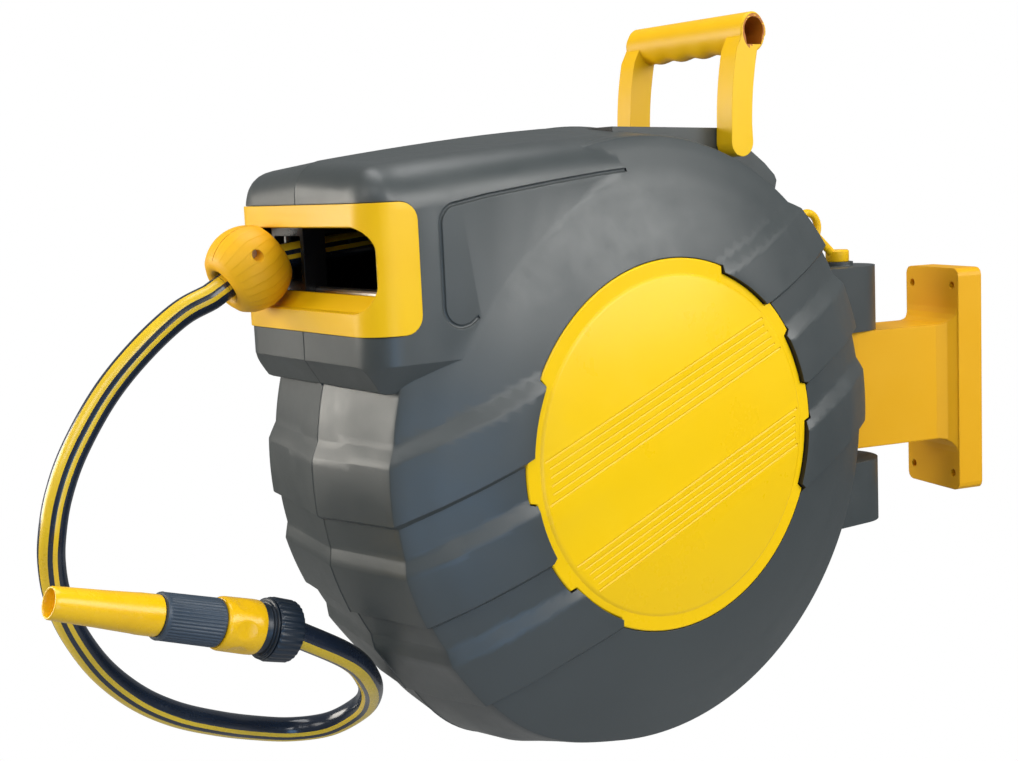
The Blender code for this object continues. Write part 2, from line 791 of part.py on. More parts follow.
def disc_outline(grow):
    """Edge of a disc cover: round, and stepped inward where the raised bands meet it."""
    marks = []
    for low, high in BAND_SPANS:
        for height in (low + grow, high + BAND_LEDGE * 0.6 - grow):
            for side in (1, -1):
                lean = math.asin(max(-0.999, min(0.999, height / DISC_RADIUS)))
                angle = BAND_TILT + (lean if side > 0 else math.pi - lean)
                marks.append(angle % (2 * math.pi))
    plain = [2 * math.pi * i / 48 for i in range(48)]
    plain = [a for a in plain if min(abs(a - m) for m in marks) > 0.03]
    points = []
    for angle in sorted(plain + marks):
        if angle in marks:
            before = in_band(angle - 0.01, grow)
            steps = (before, not before)
        else:
            steps = (in_band(angle, grow),)
        for stepped in steps:
            radius = DISC_RADIUS - DISC_NOTCH * stepped + grow
            points.append((radius * math.cos(angle), radius * math.sin(angle)))
    return points


def in_band(angle, grow):
    height = DISC_RADIUS * math.sin(angle - BAND_TILT)
    return any(
        low + grow < height < high + BAND_LEDGE * 0.6 - grow for low, high in BAND_SPANS
    )


def build_disc(name, side, hole):
    outline = disc_outline(0.0)
    loops = [outline]
    if hole:
        loops.append(circle(hole, 24))
    start, end = DISC_BACK_X, SIDE_X + DISC_PROUD
    cover = extruded(name, loops, "YZ", start, end)
    rim = ring("rim", DISC_RADIUS - DISC_RIM, DISC_RADIUS + 0.01, end - DISC_RIM_DROP, end + 0.01, 64)
    cover = cut(cover, rim)
    if side < 0:
        mirror(cover)
    return cover


def mirror(item):
    """Reflect across the case's middle plane and keep the faces outward."""
    item.data.transform(Matrix.Scale(-1, 4, Vector((1, 0, 0))))
    item.data.flip_normals()
    return item


def side_cone_radius(x):
    """Radius of the case's inner side wall at this distance from the middle plane."""
    slope = (CREASE_RADIUS - DISC_RADIUS) / SIDE_CROWN
    return CREASE_RADIUS - (x + WALL - CREASE_X) * slope


def cavity():
    """Space inside the case, less the bosses that stand in it."""
    half = [
        (0.0, CAVITY_X),
        (side_cone_radius(CAVITY_X), CAVITY_X),
        (CREASE_RADIUS - 0.0008, CREASE_X - WALL),
        (SHOULDER_RADIUS - WALL, SHOULDER_X - 0.0008),
    ]
    profile = half + [(CASE_RADIUS - WALL, 0.0)] + [(r, -x) for r, x in reversed(half)]
    space = turned("cavity", profile, CAVITY_SIDES, closed=False)
    space = fuse(space, housing("inner", -HOUSING_WALL))
    bosses = []
    for angle in CASE_SCREW_ANGLES:
        place = polar(CASE_SCREW_CIRCLE, math.radians(angle))
        bosses.append(cylinder("boss", "X", -0.2, 0.2, CASE_SCREW_BOSS, place, 12))
    inner = CAVITY_X - AXLE_BOSS_LENGTH
    for start, end in ((-0.2, -inner), (inner, 0.2)):
        bosses.append(cylinder("boss", "X", start, end, AXLE_BOSS_RADIUS))
    rod = (ROD_Y, ROD_Z)
    rod_boss = HOUSING_INNER_HALF - 0.006
    for start, end in ((-0.2, -rod_boss), (rod_boss, 0.2)):
        bosses.append(cylinder("boss", "X", start, end, ROD_RADIUS + 0.004, rod, 16))
    idler = tuple(idler_centre().yz)
    bosses.append(cylinder("boss", "X", -0.2, -GEAR_OUTER_X - 0.001, IDLER_PIN_RADIUS + 0.004, idler, 16))
    pawl = polar(PAWL_PIVOT_RADIUS, PAWL_ANGLE)
    bosses.append(cylinder("boss", "X", pawl_boss_x(), 0.2, PAWL_PIN_RADIUS + 0.004, pawl, 16))
    for boss in bosses:
        space = cut(space, boss)
    return space


def pawl_boss_x():
    return RATCHET_X + RATCHET_WIDTH + 0.010


def polar(radius, angle):
    return (radius * math.cos(angle), radius * math.sin(angle))


def ears():
    """Two lugs on the back of the case that take the pivot pin."""
    pieces = []
    base = CASE_RADIUS - 0.05
    for low, high in (
        (UPPER_EAR_BOTTOM, UPPER_EAR_TOP),
        (LOWER_EAR_BOTTOM, LOWER_EAR_TOP),
    ):
        outline = [(EAR_RADIUS, base), *arc((0.0, PIVOT_Y), EAR_RADIUS, 0.0, math.pi, 10)]
        outline.append((-EAR_RADIUS, base))
        pieces.append(extruded("ear", [outline], "XY", low, high))
    boss_top = UPPER_EAR_TOP + 0.003
    pieces.append(
        cylinder("ear_boss", "Z", UPPER_EAR_TOP - 0.002, boss_top, PIN_RADIUS + 0.006, (0.0, PIVOT_Y), 20)
    )
    return pieces


def handle_block():
    """Raised block on the case between the handle's posts."""
    y, z = HANDLE_Y, HANDLE_Z
    outline = [
        (y - BLOCK_FORWARD, z + BLOCK_TOP + BLOCK_SLOPE),
        (y + 0.003, z + BLOCK_TOP),
        (y + 0.023, z - 0.006),
        (y + 0.036, z - 0.015),
        (y + 0.047, z - 0.025),
        (y + 0.046, z - 0.033),
        (y + 0.034, z - 0.045),
        (y - BLOCK_FORWARD, z - 0.012),
    ]
    half = HANDLE_INNER_HALF - 0.001
    return extruded("block", [outline], "YZ", -half, half)


def bevel_x(radius):
    """Half width of the round case's bevel at a distance from the axle."""
    return SHOULDER_X + BEVEL_WIDTH * (SHOULDER_RADIUS - radius) / BEVEL_DROP


def panel_groove(side):
    """Cutter for the fine groove round the flat panel on the housing's side."""
    front = FRONT_Y + PANEL_BACK
    low = LIP_Z + PANEL_ABOVE_LIP
    turn = math.pi / 2
    points = [(front + PANEL_CORNER * 2, low + 0.005), (front + PANEL_CORNER * 1.5, low)]
    points += arc((front + PANEL_CORNER, low + PANEL_CORNER), PANEL_CORNER, -turn, -2 * turn, 4)
    rear = -0.10 * CASE_RADIUS
    top = []
    for share in (0.10, 0.35, 0.65, 1.0):
        y = front + (rear - front) * share
        top.append((y, housing_top(HOUSING_HALF, y) - PANEL_BELOW_TOP))
    high = housing_top(HOUSING_HALF, front) - PANEL_BELOW_TOP
    points += [(front, high - PANEL_CORNER), (front + PANEL_CORNER * 0.25, high - PANEL_CORNER * 0.4)]
    route = []
    for y, z in points + top:
        rear = max(0.0, 1.0 + y / 0.10)
        x = HOUSING_HALF - REAR_TAPER * rear**2
        edge_start = housing_top(x, y) - SIDE_EDGE_RADIUS
        if z > edge_start:
            x -= rounded_inset(SIDE_EDGE_RADIUS, SIDE_EDGE_RADIUS - (z - edge_start))
        route.append((side * max(x, bevel_x(math.hypot(y, z))), y, z))
    return tube("groove", route, PANEL_GROOVE, 0)


def case_body():
    body = drum_shell()
    body = fuse(body, housing("housing"))
    body = fuse(body, handle_block())
    for ear in ears():
        body = fuse(body, ear)
    body = cut(body, cavity())
    return body


def case_cutters():
    """Everything that is cut from the finished shell, both sides together."""
    tools = []
    recess = bezel_region("recess", GAP)
    recess = keep_inside(recess, housing("outer", 0.02))
    recess = cut(recess, housing("inner", -BEZEL_SHELL - GAP))
    tools.append(recess)
    tunnel_end = FRONT_Y - BEZEL_PROUD + MOUTH_DEPTH + GAP
    tools.append(mouth_block("tunnel", BEZEL_SHELL + GAP, FRONT_Y - 0.01, tunnel_end))
    for side in (1, -1):
        pocket = extruded("pocket", [disc_outline(DISC_EDGE_GAP)], "YZ", POCKET_X, 0.2)
        if side < 0:
            mirror(pocket)
        tools.append(pocket)
        tools.append(panel_groove(side))
    tools.append(cylinder("axle_bore", "X", -0.2, CAVITY_X + 0.0005, AXLE_RADIUS + GAP))
    rod_end = HOUSING_INNER_HALF + 0.001 + GAP
    tools.append(cylinder("rod_bore", "X", -rod_end, rod_end, ROD_RADIUS + GAP, (ROD_Y, ROD_Z), 16))
    screw_end = HOUSING_INNER_HALF + 0.0035 + GAP
    tools.append(
        cylinder("journal_bore", "X", -screw_end, screw_end, JOURNAL_RADIUS + GAP, (SCREW_Y, SCREW_Z), 16)
    )
    idler = tuple(idler_centre().yz)
    tools.append(
        cylinder("idler_bore", "X", -idler_pin_end() - GAP, -0.05, IDLER_PIN_RADIUS + GAP, idler, 16)
    )
    screw = (SCREW_Y, SCREW_Z)
    for centre, teeth in ((idler, IDLER_TEETH), (screw, SCREW_TEETH)):
        tip = (teeth / 2 + ADDENDUM) * MODULE + GAP
        room = cylinder("gear_room", "X", -GEAR_OUTER_X - GAP, -GEAR_INNER_X + GAP, tip, centre, 32)
        tools.append(room)
    inner = HOUSING_INNER_HALF - GAP / 2
    tools.append(cylinder("screw_room", "X", -inner, inner, SCREW_RADIUS + GAP, screw, 16))
    pawl = polar(PAWL_PIVOT_RADIUS, PAWL_ANGLE)
    tools.append(cylinder("pawl_bore", "X", 0.05, CAVITY_X - 0.001, PAWL_PIN_RADIUS + GAP, pawl, 12))
    pins = (HANDLE_Y, HANDLE_Z)
    depth = HANDLE_INNER_HALF - 0.010
    for start, end in ((-0.1, -depth), (depth, 0.1)):
        tools.append(cylinder("handle_bore", "X", start, end, HANDLE_PIN_RADIUS + GAP, pins, 16))
    tools.append(
        cylinder("pivot_bore", "Z", -0.2, 0.2, PIN_RADIUS + GAP, (0.0, PIVOT_Y), 20)
    )
    for angle in CASE_SCREW_ANGLES:
        place = polar(CASE_SCREW_CIRCLE, math.radians(angle))
        head = CASE_SCREW_HEAD + SCREW_HOLE_ROOM
        end = CASE_SCREW_START + CASE_SCREW_LENGTH + GAP
        tools.append(cylinder("head_bore", "X", -0.2, CASE_SCREW_START, head, place, 12))
        tools.append(
            cylinder("screw_bore", "X", CASE_SCREW_START - 0.001, end, CASE_SCREW_RADIUS + GAP, place, 8)
        )
    return tools


def build_case():
    body = case_body()
    for tool in case_cutters():
        body = cut(body, tool)
    body.name = "case_right"
    other = add_object("case_left", body.data.copy())
    right = keep_inside(body, box("half", (GAP / 2, 0.4), (-0.5, 0.5), (-0.5, 0.5)))
    left = keep_inside(other, box("half", (-0.4, -GAP / 2), (-0.5, 0.5), (-0.5, 0.5)))
    return left, right


# Wall bracket and pivot
def build_bracket():
    """Built with the pivot at the origin and the wall toward +Y."""
    face = ARM_LENGTH
    width = PLATE_WIDTH / 2
    low, high = -PLATE_HEIGHT / 2, PLATE_HEIGHT / 2
    plate = extruded(
        "bracket",
        [rounded_rectangle((-width, low), (width, high), PLATE_CORNER)],
        "XZ",
        -face - PLATE_THICKNESS,
        -face,
    )
    quarter = math.pi / 2
    into = face + 0.001
    front = -ARM_HALF_WIDTH - 0.005
    low_fillet = arc((face - ARM_FILLET, ARM_BOTTOM - ARM_FILLET), ARM_FILLET, quarter, 0.0, 4)
    high_fillet = arc((face - ARM_FILLET, ARM_TOP + ARM_FILLET), ARM_FILLET, 0.0, -quarter, 4)
    side = [(front, ARM_BOTTOM), *low_fillet, (into, ARM_BOTTOM - ARM_FILLET)]
    side += [(into, ARM_TOP + ARM_FILLET), *high_fillet, (front, ARM_TOP)]
    flare = width - ARM_HALF_WIDTH - 0.001
    plan = arc((0.0, 0.0), ARM_HALF_WIDTH, math.pi, 2 * math.pi, 12)
    plan += [(ARM_HALF_WIDTH, face - 2 * flare), (ARM_HALF_WIDTH + 0.3 * flare, face - 0.8 * flare)]
    plan += [(ARM_HALF_WIDTH + flare, face), (ARM_HALF_WIDTH + flare, into)]
    plan += [(-x, y) for x, y in reversed(plan[-4:])]
    arm = extruded("arm", [side], "YZ", -width, width)
    arm = keep_inside(arm, extruded("plan", [plan], "XY", -0.1, 0.1))
    bracket = fuse(plate, arm)
    bracket = cut(bracket, cylinder("bore", "Z", -0.1, 0.1, PIN_RADIUS + GAP, (0.0, 0.0), 20))
    for x in (-WALL_SCREW_PITCH_X / 2, WALL_SCREW_PITCH_X / 2):
        for z in (-WALL_SCREW_PITCH_Z / 2, WALL_SCREW_PITCH_Z / 2):
            back = face + PLATE_THICKNESS + 0.01
            hole = cylinder("hole", "Y", face - 0.01, back, WALL_SCREW_RADIUS, (x, z), 12)
            bracket = cut(bracket, hole)
    return bracket


def build_pivot_pin():
    start = LOWER_EAR_BOTTOM - 0.003
    end = UPPER_EAR_TOP + PIN_OVERHANG
    return cylinder("pivot_pin", "Z", start, end, PIN_RADIUS, (0.0, PIVOT_Y), 20)


def build_pin_ring():
    """Pull ring on the pin's head, standing toward the case."""
    base = UPPER_EAR_TOP + 0.003 + GAP
    hub = cylinder("pin_ring", "Z", base, base + RING_HUB_HEIGHT, RING_HUB_RADIUS, (0.0, PIVOT_Y), 20)
    y, z = PIVOT_Y - RING_FORWARD, UPPER_EAR_TOP + RING_RISE
    inner, outer = RING_RADIUS - RING_WIRE, RING_RADIUS + RING_WIRE
    half = RING_WIRE
    profile = [(inner, 0.0), (RING_RADIUS, -half), (outer, 0.0), (RING_RADIUS, half)]
    loop = moved(turned("loop", profile, 20), Matrix.Translation((0.0, y, z)))
    toward = Vector((0.0, PIVOT_Y - y, base + RING_HUB_HEIGHT * 0.6 - z)).normalized()
    start = Vector((0.0, y, z)) + toward * RING_RADIUS
    end = Vector((0.0, PIVOT_Y - RING_HUB_RADIUS * 0.5, base + RING_HUB_HEIGHT * 0.6))
    stem = tube("stem", [start, end], 0.0032, 2)
    hub = fuse(hub, stem)
    hub = fuse(hub, loop)
    hole_top = UPPER_EAR_TOP + PIN_OVERHANG + GAP
    return cut(hub, cylinder("bore", "Z", base - 0.01, hole_top, PIN_RADIUS + GAP, (0.0, PIVOT_Y), 20))


# Carrying handle
def build_handle():
    y, z = HANDLE_Y, HANDLE_Z
    gy, gz = GRIP_Y, GRIP_Z
    half = POST_HALF_WIDTH
    outline = arc((y, z), POST_FOOT_RADIUS, math.pi, 2 * math.pi, 6)
    outline += [(y + half, z + 0.018), (y + half + 0.001, z + 0.036), (y + half + 0.005, z + 0.055)]
    outline += arc((gy, gz), GRIP_HALF_WIDTH, 0.0, math.pi, 8)
    outline += [(y - half + 0.005, z + 0.055), (y - half + 0.001, z + 0.036), (y - half, z + 0.018)]
    posts = []
    for start, end in ((-POST_OUTER, -HANDLE_INNER_HALF), (HANDLE_INNER_HALF, POST_OUTER)):
        posts.append(extruded("post", [outline], "YZ", start, end))
    rings = []
    stations = 16
    for i in range(stations + 1):
        x = -POST_OUTER + 2 * POST_OUTER * i / stations
        share = x / HANDLE_INNER_HALF
        wave = FINGER_WAVE * math.cos(FINGER_WAVES * math.pi * share) if abs(share) < 0.95 else 0.0
        loop = []
        for j in range(14):
            angle = 2 * math.pi * j / 14
            height = GRIP_HALF_HEIGHT
            if math.sin(angle) < -0.3:
                height -= wave
            loop.append((x, gy + GRIP_HALF_WIDTH * math.cos(angle), gz + height * math.sin(angle)))
        rings.append(loop)
    handle = lofted("handle", rings)
    for post in posts:
        handle = fuse(handle, post)
    bore = []
    for x in (-POST_OUTER - 0.01, POST_OUTER + 0.01):
        loop = []
        for j in range(14):
            angle = 2 * math.pi * j / 14
            width = GRIP_HALF_WIDTH - GRIP_WALL
            height = GRIP_HALF_HEIGHT - GRIP_WALL - FINGER_WAVE
            loop.append((x, gy + width * math.cos(angle), gz + height * math.sin(angle)))
        bore.append(loop)
    handle = cut(handle, lofted("bore", bore))
    for start, end in ((-POST_OUTER + 0.003, -0.04), (0.04, POST_OUTER - 0.003)):
        hole = cylinder("hole", "X", start, end, HANDLE_PIN_RADIUS + GAP, (y, z), 16)
        handle = cut(handle, hole)
    return handle


def build_handle_pin(name, side):
    start = HANDLE_INNER_HALF - 0.010 + GAP
    end = POST_OUTER - 0.003 - GAP
    pin = cylinder(name, "X", start, end, HANDLE_PIN_RADIUS, (HANDLE_Y, HANDLE_Z), 16)
    return pin if side > 0 else mirror(pin)


# Axle and water way
def build_axle():
    start = -(SIDE_X + DISC_PROUD + 0.008)
    axle = cylinder("axle", "X", start, CAVITY_X, AXLE_RADIUS, sides=32)
    axle = cut(axle, cylinder("bore", "X", start - 0.01, elbow_x() + 0.008, AXLE_BORE, sides=16))
    return cut(axle, cylinder("port", "Z", 0.0, 0.03, AXLE_BORE, (elbow_x(), 0.0), 12))


def elbow_x():
    return PACK_HALF * 0.35


def build_inlet_connector():
    """Threaded collar on the axle's end with a plug nose for a tap connector."""
    base = SIDE_X + DISC_PROUD
    seat = base + 0.008
    bore = AXLE_BORE + 0.001
    profile = [
        (AXLE_RADIUS + GAP, base + GAP),
        (INLET_COLLAR_RADIUS, base + GAP),
        (INLET_COLLAR_RADIUS, seat + 0.010),
        (INLET_NOSE_RADIUS + 0.002, seat + 0.012),
        (INLET_NOSE_RADIUS, seat + 0.018),
        (INLET_NOSE_RADIUS, base + INLET_REACH - 0.002),
        (INLET_NOSE_RADIUS - 0.0012, base + INLET_REACH),
        (bore, base + INLET_REACH),
        (bore, seat + 0.004),
        (AXLE_RADIUS + GAP, seat + 0.004),
    ]
    return mirror(turned("inlet_connector", profile, 24))


def seal(name, inner, wire, centre_x):
    """Rubber ring whose bore is clear of what it lies round."""
    profile = []
    for i in range(6):
        angle = 2 * math.pi * i / 6
        profile.append((inner + wire + wire * math.cos(angle), centre_x + wire * math.sin(angle)))
    return turned(name, profile, 20)


def build_inlet_seal():
    seat = SIDE_X + DISC_PROUD + 0.008
    ring_item = seal("inlet_seal", AXLE_BORE + 0.002, SEAL_WIRE - 0.0002, seat + 0.002)
    return mirror(ring_item)


def build_hose_elbow():
    """Collar that turns round the axle and carries the water out to the drum's core."""
    x = elbow_x()
    half = ELBOW_PIPE_RADIUS + ELBOW_CHEEK
    outer = AXLE_RADIUS + GAP + ELBOW_WALL
    groove = AXLE_RADIUS + GAP + 2 * SEAL_WIRE + GAP
    bore = AXLE_RADIUS + GAP
    depth = 2 * SEAL_WIRE + 2 * GAP
    profile = [
        (bore, x - half + depth),
        (groove, x - half + depth),
        (groove, x - half),
        (outer, x - half),
        (outer, x + half),
        (groove, x + half),
        (groove, x + half - depth),
        (bore, x + half - depth),
    ]
    elbow = turned("hose_elbow", profile, 24)
    end = math.sqrt((CORE_RADIUS - CORE_WALL) ** 2 - ELBOW_PIPE_RADIUS**2) - 2 * GAP
    elbow = fuse(elbow, cylinder("pipe", "Z", bore + ELBOW_WALL / 2, end, ELBOW_PIPE_RADIUS, (x, 0.0), 16))
    return cut(elbow, cylinder("bore", "Z", 0.0, end + 0.01, AXLE_BORE, (x, 0.0), 12))


def build_axle_seal(name, side):
    half = ELBOW_PIPE_RADIUS + ELBOW_CHEEK
    x = elbow_x() + side * (half - GAP - SEAL_WIRE)
    return seal(name, AXLE_RADIUS + GAP, SEAL_WIRE, x)


# Drum
def build_flange(name, side):
    inner, outer = FLANGE_X, FLANGE_X + FLANGE_THICKNESS
    hub = (inner + outer) / 2
    bore = BUSH_RADIUS + GAP
    profile = [
        (bore, hub - BUSH_HALF_LENGTH),
        (HUB_RADIUS, hub - BUSH_HALF_LENGTH),
        (HUB_RADIUS, inner),
        (FLANGE_RADIUS, inner),
        (FLANGE_RADIUS, outer),
        (HUB_RADIUS, outer),
        (HUB_RADIUS, hub + BUSH_HALF_LENGTH),
        (bore, hub + BUSH_HALF_LENGTH),
    ]
    flange = turned(name, profile, 48)
    return flange if side > 0 else mirror(flange)


def build_hub_bush(name, side):
    middle = FLANGE_X + FLANGE_THICKNESS / 2
    bush = ring(
        name,
        AXLE_RADIUS + GAP,
        BUSH_RADIUS,
        middle - BUSH_HALF_LENGTH,
        middle + BUSH_HALF_LENGTH,
        24,
    )
    return bush if side > 0 else mirror(bush)


def build_drum_core():
    half = PACK_HALF + GAP
    core = ring("drum_core", CORE_RADIUS - CORE_WALL, CORE_RADIUS, -half, half, 48)
    hole = cylinder("hole", "Z", 0.03, 0.2, AXLE_BORE, (elbow_x(), 0.0), 12)
    return cut(core, hole)


def build_hose_pack():
    return ring("hose_pack", CORE_RADIUS + GAP, PACK_RADIUS, -PACK_HALF, PACK_HALF, 64)


def build_spring_barrel():
    start, end = DRUM_SIDE_X, DRUM_SIDE_X + BARREL_DEPTH
    hub = HUB_RADIUS + 0.001
    profile = [
        (hub, start),
        (BARREL_RADIUS, start),
        (BARREL_RADIUS, end),
        (BARREL_RADIUS - BARREL_WALL, end),
        (BARREL_RADIUS - BARREL_WALL, start + BARREL_WALL),
        (hub, start + BARREL_WALL),
    ]
    return turned("spring_barrel", profile, 40)


def build_mainspring():
    """Flat spiral strip between the axle and the barrel."""
    inner = HUB_RADIUS + 0.003
    outer = BARREL_RADIUS - BARREL_WALL - MAINSPRING_STRIP / 2 - GAP
    steps = MAINSPRING_TURNS * 18
    edges = ([], [])
    for i in range(steps + 1):
        angle = 2 * math.pi * MAINSPRING_TURNS * i / steps
        radius = inner + (outer - inner) * i / steps
        for edge, side in zip(edges, (-0.5, 0.5)):
            edge.append(polar(radius + side * MAINSPRING_STRIP, angle))
    outline = edges[1] + edges[0][::-1]
    start = DRUM_SIDE_X + BARREL_WALL + 0.001
    return extruded("mainspring", [outline], "YZ", start, DRUM_SIDE_X + BARREL_DEPTH - 0.001)


# Gear train
def gear_distance(first, second):
    return (first + second) / 2 * MODULE


def idler_centre():
    """Where the idler meshes with both the drum gear and the screw gear."""
    reach = SCREW_CENTRE.length
    near = gear_distance(DRUM_TEETH, IDLER_TEETH)
    far = gear_distance(IDLER_TEETH, SCREW_TEETH)
    lean = math.acos((near**2 + reach**2 - far**2) / (2 * near * reach))
    angle = math.atan2(SCREW_Z, SCREW_Y) - lean
    y, z = polar(near, angle)
    return Vector((0.0, y, z))


def gear_phases():
    """Angle of one tooth of each gear, so that all three mesh at rest."""
    idler = idler_centre()
    to_idler = math.atan2(idler.z, idler.y)
    toward = SCREW_CENTRE - idler
    to_screw = math.atan2(toward.z, toward.y)
    drum_phase = to_idler
    idler_phase = to_idler + math.pi + math.pi / IDLER_TEETH
    offset = (to_screw - idler_phase) % (2 * math.pi / IDLER_TEETH)
    screw_phase = to_screw + math.pi + offset * IDLER_TEETH / SCREW_TEETH + math.pi / SCREW_TEETH
    return drum_phase, idler_phase, screw_phase


def gear(name, teeth, bore, phase, bore_sides=24):
    pitch_radius = teeth * MODULE / 2
    tooth_pitch = math.pi * MODULE
    tip = pitch_radius + ADDENDUM * MODULE
    root = pitch_radius - DEDENDUM * MODULE
    tip_share = TOOTH_SHARE - 2 * ADDENDUM * MODULE * math.tan(TOOTH_SLOPE) / tooth_pitch
    root_share = TOOTH_SHARE + 2 * DEDENDUM * MODULE * math.tan(TOOTH_SLOPE) / tooth_pitch
    outline = toothed_outline(teeth, root, tip, root_share, tip_share, phase)
    hole = circle(bore, bore_sides)
    return extruded(name, [outline, hole], "YZ", -GEAR_OUTER_X, -GEAR_INNER_X)


def build_drive_gear():
    phase = gear_phases()[0]
    bore = HUB_RADIUS + 0.001
    wheel = gear("drive_gear", DRUM_TEETH, bore, phase)
    sleeve = ring("sleeve", bore, bore + 0.005, -GEAR_INNER_X - 0.001, -DRUM_SIDE_X, 24)
    return fuse(wheel, sleeve)


def build_idler_gear():
    wheel = gear("idler_gear", IDLER_TEETH, IDLER_PIN_RADIUS + GAP, gear_phases()[1], 16)
    return moved(wheel, Matrix.Translation(idler_centre()))


def idler_pin_end():
    return HOUSING_INNER_HALF + 0.003


def build_idler_pin():
    centre = tuple(idler_centre().yz)
    start = -idler_pin_end()
    return cylinder("idler_pin", "X", start, -GEAR_INNER_X + 0.002, IDLER_PIN_RADIUS, centre, 16)


def build_screw_gear():
    wheel = gear("screw_gear", SCREW_TEETH, JOURNAL_RADIUS + GAP, gear_phases()[2], 12)
    return moved(wheel, Matrix.Translation(SCREW_CENTRE))


def build_guide_screw():
    end = HOUSING_INNER_HALF + 0.0035
    left, right = -GEAR_INNER_X + GAP, HOUSING_INNER_HALF - GAP
    profile = [
        (0.0, end),
        (JOURNAL_RADIUS, end),
        (JOURNAL_RADIUS, right),
        (SCREW_RADIUS, right),
        (SCREW_RADIUS, left),
        (JOURNAL_RADIUS, left),
        (JOURNAL_RADIUS, -end),
        (0.0, -end),
    ]
    screw = turned("guide_screw", profile, 16, closed=False)
    return moved(screw, Matrix.Translation(SCREW_CENTRE))


# Hose guide
def build_guide_rod():
    end = HOUSING_INNER_HALF + 0.001
    return cylinder("guide_rod", "X", -end, end, ROD_RADIUS, (ROD_Y, ROD_Z), 16)


def lead_points():
    """Middle line of the hose from the top of the pack, through the guide and the ball."""
    eye = Vector((CARRIAGE_X, ROD_Y, EYE_Z))
    flat = math.hypot(eye.y, eye.z)
    angle = math.atan2(eye.z, eye.y) - math.acos(LEAD_RADIUS / flat)
    y, z = polar(LEAD_RADIUS, angle)
    tangent = Vector((CARRIAGE_X, y, z))
    exit_point = BALL_CENTRE + BALL_AXIS * BALL_HALF_LENGTH
    before = exit_point - BALL_AXIS * 0.012
    middle = Vector((CARRIAGE_X, BALL_Y + 0.008, 0.0))
    middle.z = before.z + (eye.z - before.z) * 0.60
    return [tangent, tangent.lerp(eye, 0.5), eye, middle, before, exit_point]


def lead_route(spacing):
    points = lead_points()
    return [*smooth_route(points[:-1], spacing), points[-1]]


def carriage_window():
    low = ROD_Z + ROD_RADIUS + GAP + 0.0032
    high = EYE_Z + HOSE_OD / 2 + 0.0028
    return low, high


def build_carriage():
    low, high = carriage_window()
    back = ROD_Y + 0.006
    front = back - CARRIAGE_FRONT_DEPTH
    bottom = ROD_Z - ROD_RADIUS - GAP - 0.0025
    nut_back = SCREW_Y + SCREW_RADIUS + GAP + CARRIAGE_BAR
    nut_top = SCREW_Z + SCREW_RADIUS + GAP + 0.0035
    outline = [
        (front, bottom),
        (back, bottom),
        (back, high + 0.0005),
        (nut_back, high + 0.0005),
        (nut_back, nut_top),
        (front, nut_top),
    ]
    x = CARRIAGE_X
    half = CARRIAGE_HALF_WIDTH
    carriage = extruded("carriage", [outline], "YZ", x - half, x + half)
    opening = half - CARRIAGE_CHEEK
    window = box("window", (x - opening, x + opening), (front - 0.01, back + 0.05), (low, high))
    carriage = cut(carriage, window)
    reach = (x - half - 0.01, x + half + 0.01)
    carriage = cut(carriage, cylinder("rod", "X", *reach, ROD_RADIUS + GAP, (ROD_Y, ROD_Z), 16))
    carriage = cut(carriage, cylinder("screw", "X", *reach, SCREW_RADIUS + GAP, (SCREW_Y, SCREW_Z), 20))
    depth = ROLLER_STUB_LENGTH + GAP
    for side in (-1, 1):
        place = (x + side * roller_offset(), ROD_Y - 0.001)
        hole = cylinder("stub", "Z", low - depth, high + depth, ROLLER_STUB + GAP, place, 10)
        carriage = cut(carriage, hole)
    return carriage


def roller_offset():
    return HOSE_OD / 2 + ROLLER_ROOM + ROLLER_RADIUS


def build_roller(name, side):
    low, high = carriage_window()
    bottom, top = low + GAP, high - GAP
    stub = ROLLER_STUB_LENGTH
    profile = [
        (0.0, top + stub),
        (ROLLER_STUB, top + stub),
        (ROLLER_STUB, top),
        (ROLLER_RADIUS, top),
        (ROLLER_RADIUS, bottom),
        (ROLLER_STUB, bottom),
        (ROLLER_STUB, bottom - stub),
        (0.0, bottom - stub),
    ]
    roller = turned(name, profile, 16, axis="Z", closed=False)
    place = (CARRIAGE_X + side * roller_offset(), ROD_Y - 0.001, 0.0)
    return moved(roller, Matrix.Translation(place))


def build_hose_lead():
    return tube("hose_lead", lead_route(HOSE_STEP), HOSE_OD / 2, 3)


# Stop ball
def ball_frame():
    return along(BALL_AXIS, BALL_CENTRE)


def ball_screw_frame(side):
    """Frame of one of the two clamp screws, its z axis pointing out of its hole."""
    frame = ball_frame()
    turn = Matrix.Rotation(BALL_SCREW_TURN + (0.0 if side > 0 else math.pi), 4, "Z")
    local = turn @ Matrix.Translation((0.0, BALL_SCREW_OFFSET, 0.0)) @ Matrix.Rotation(math.pi / 2, 4, "Y")
    return frame @ local


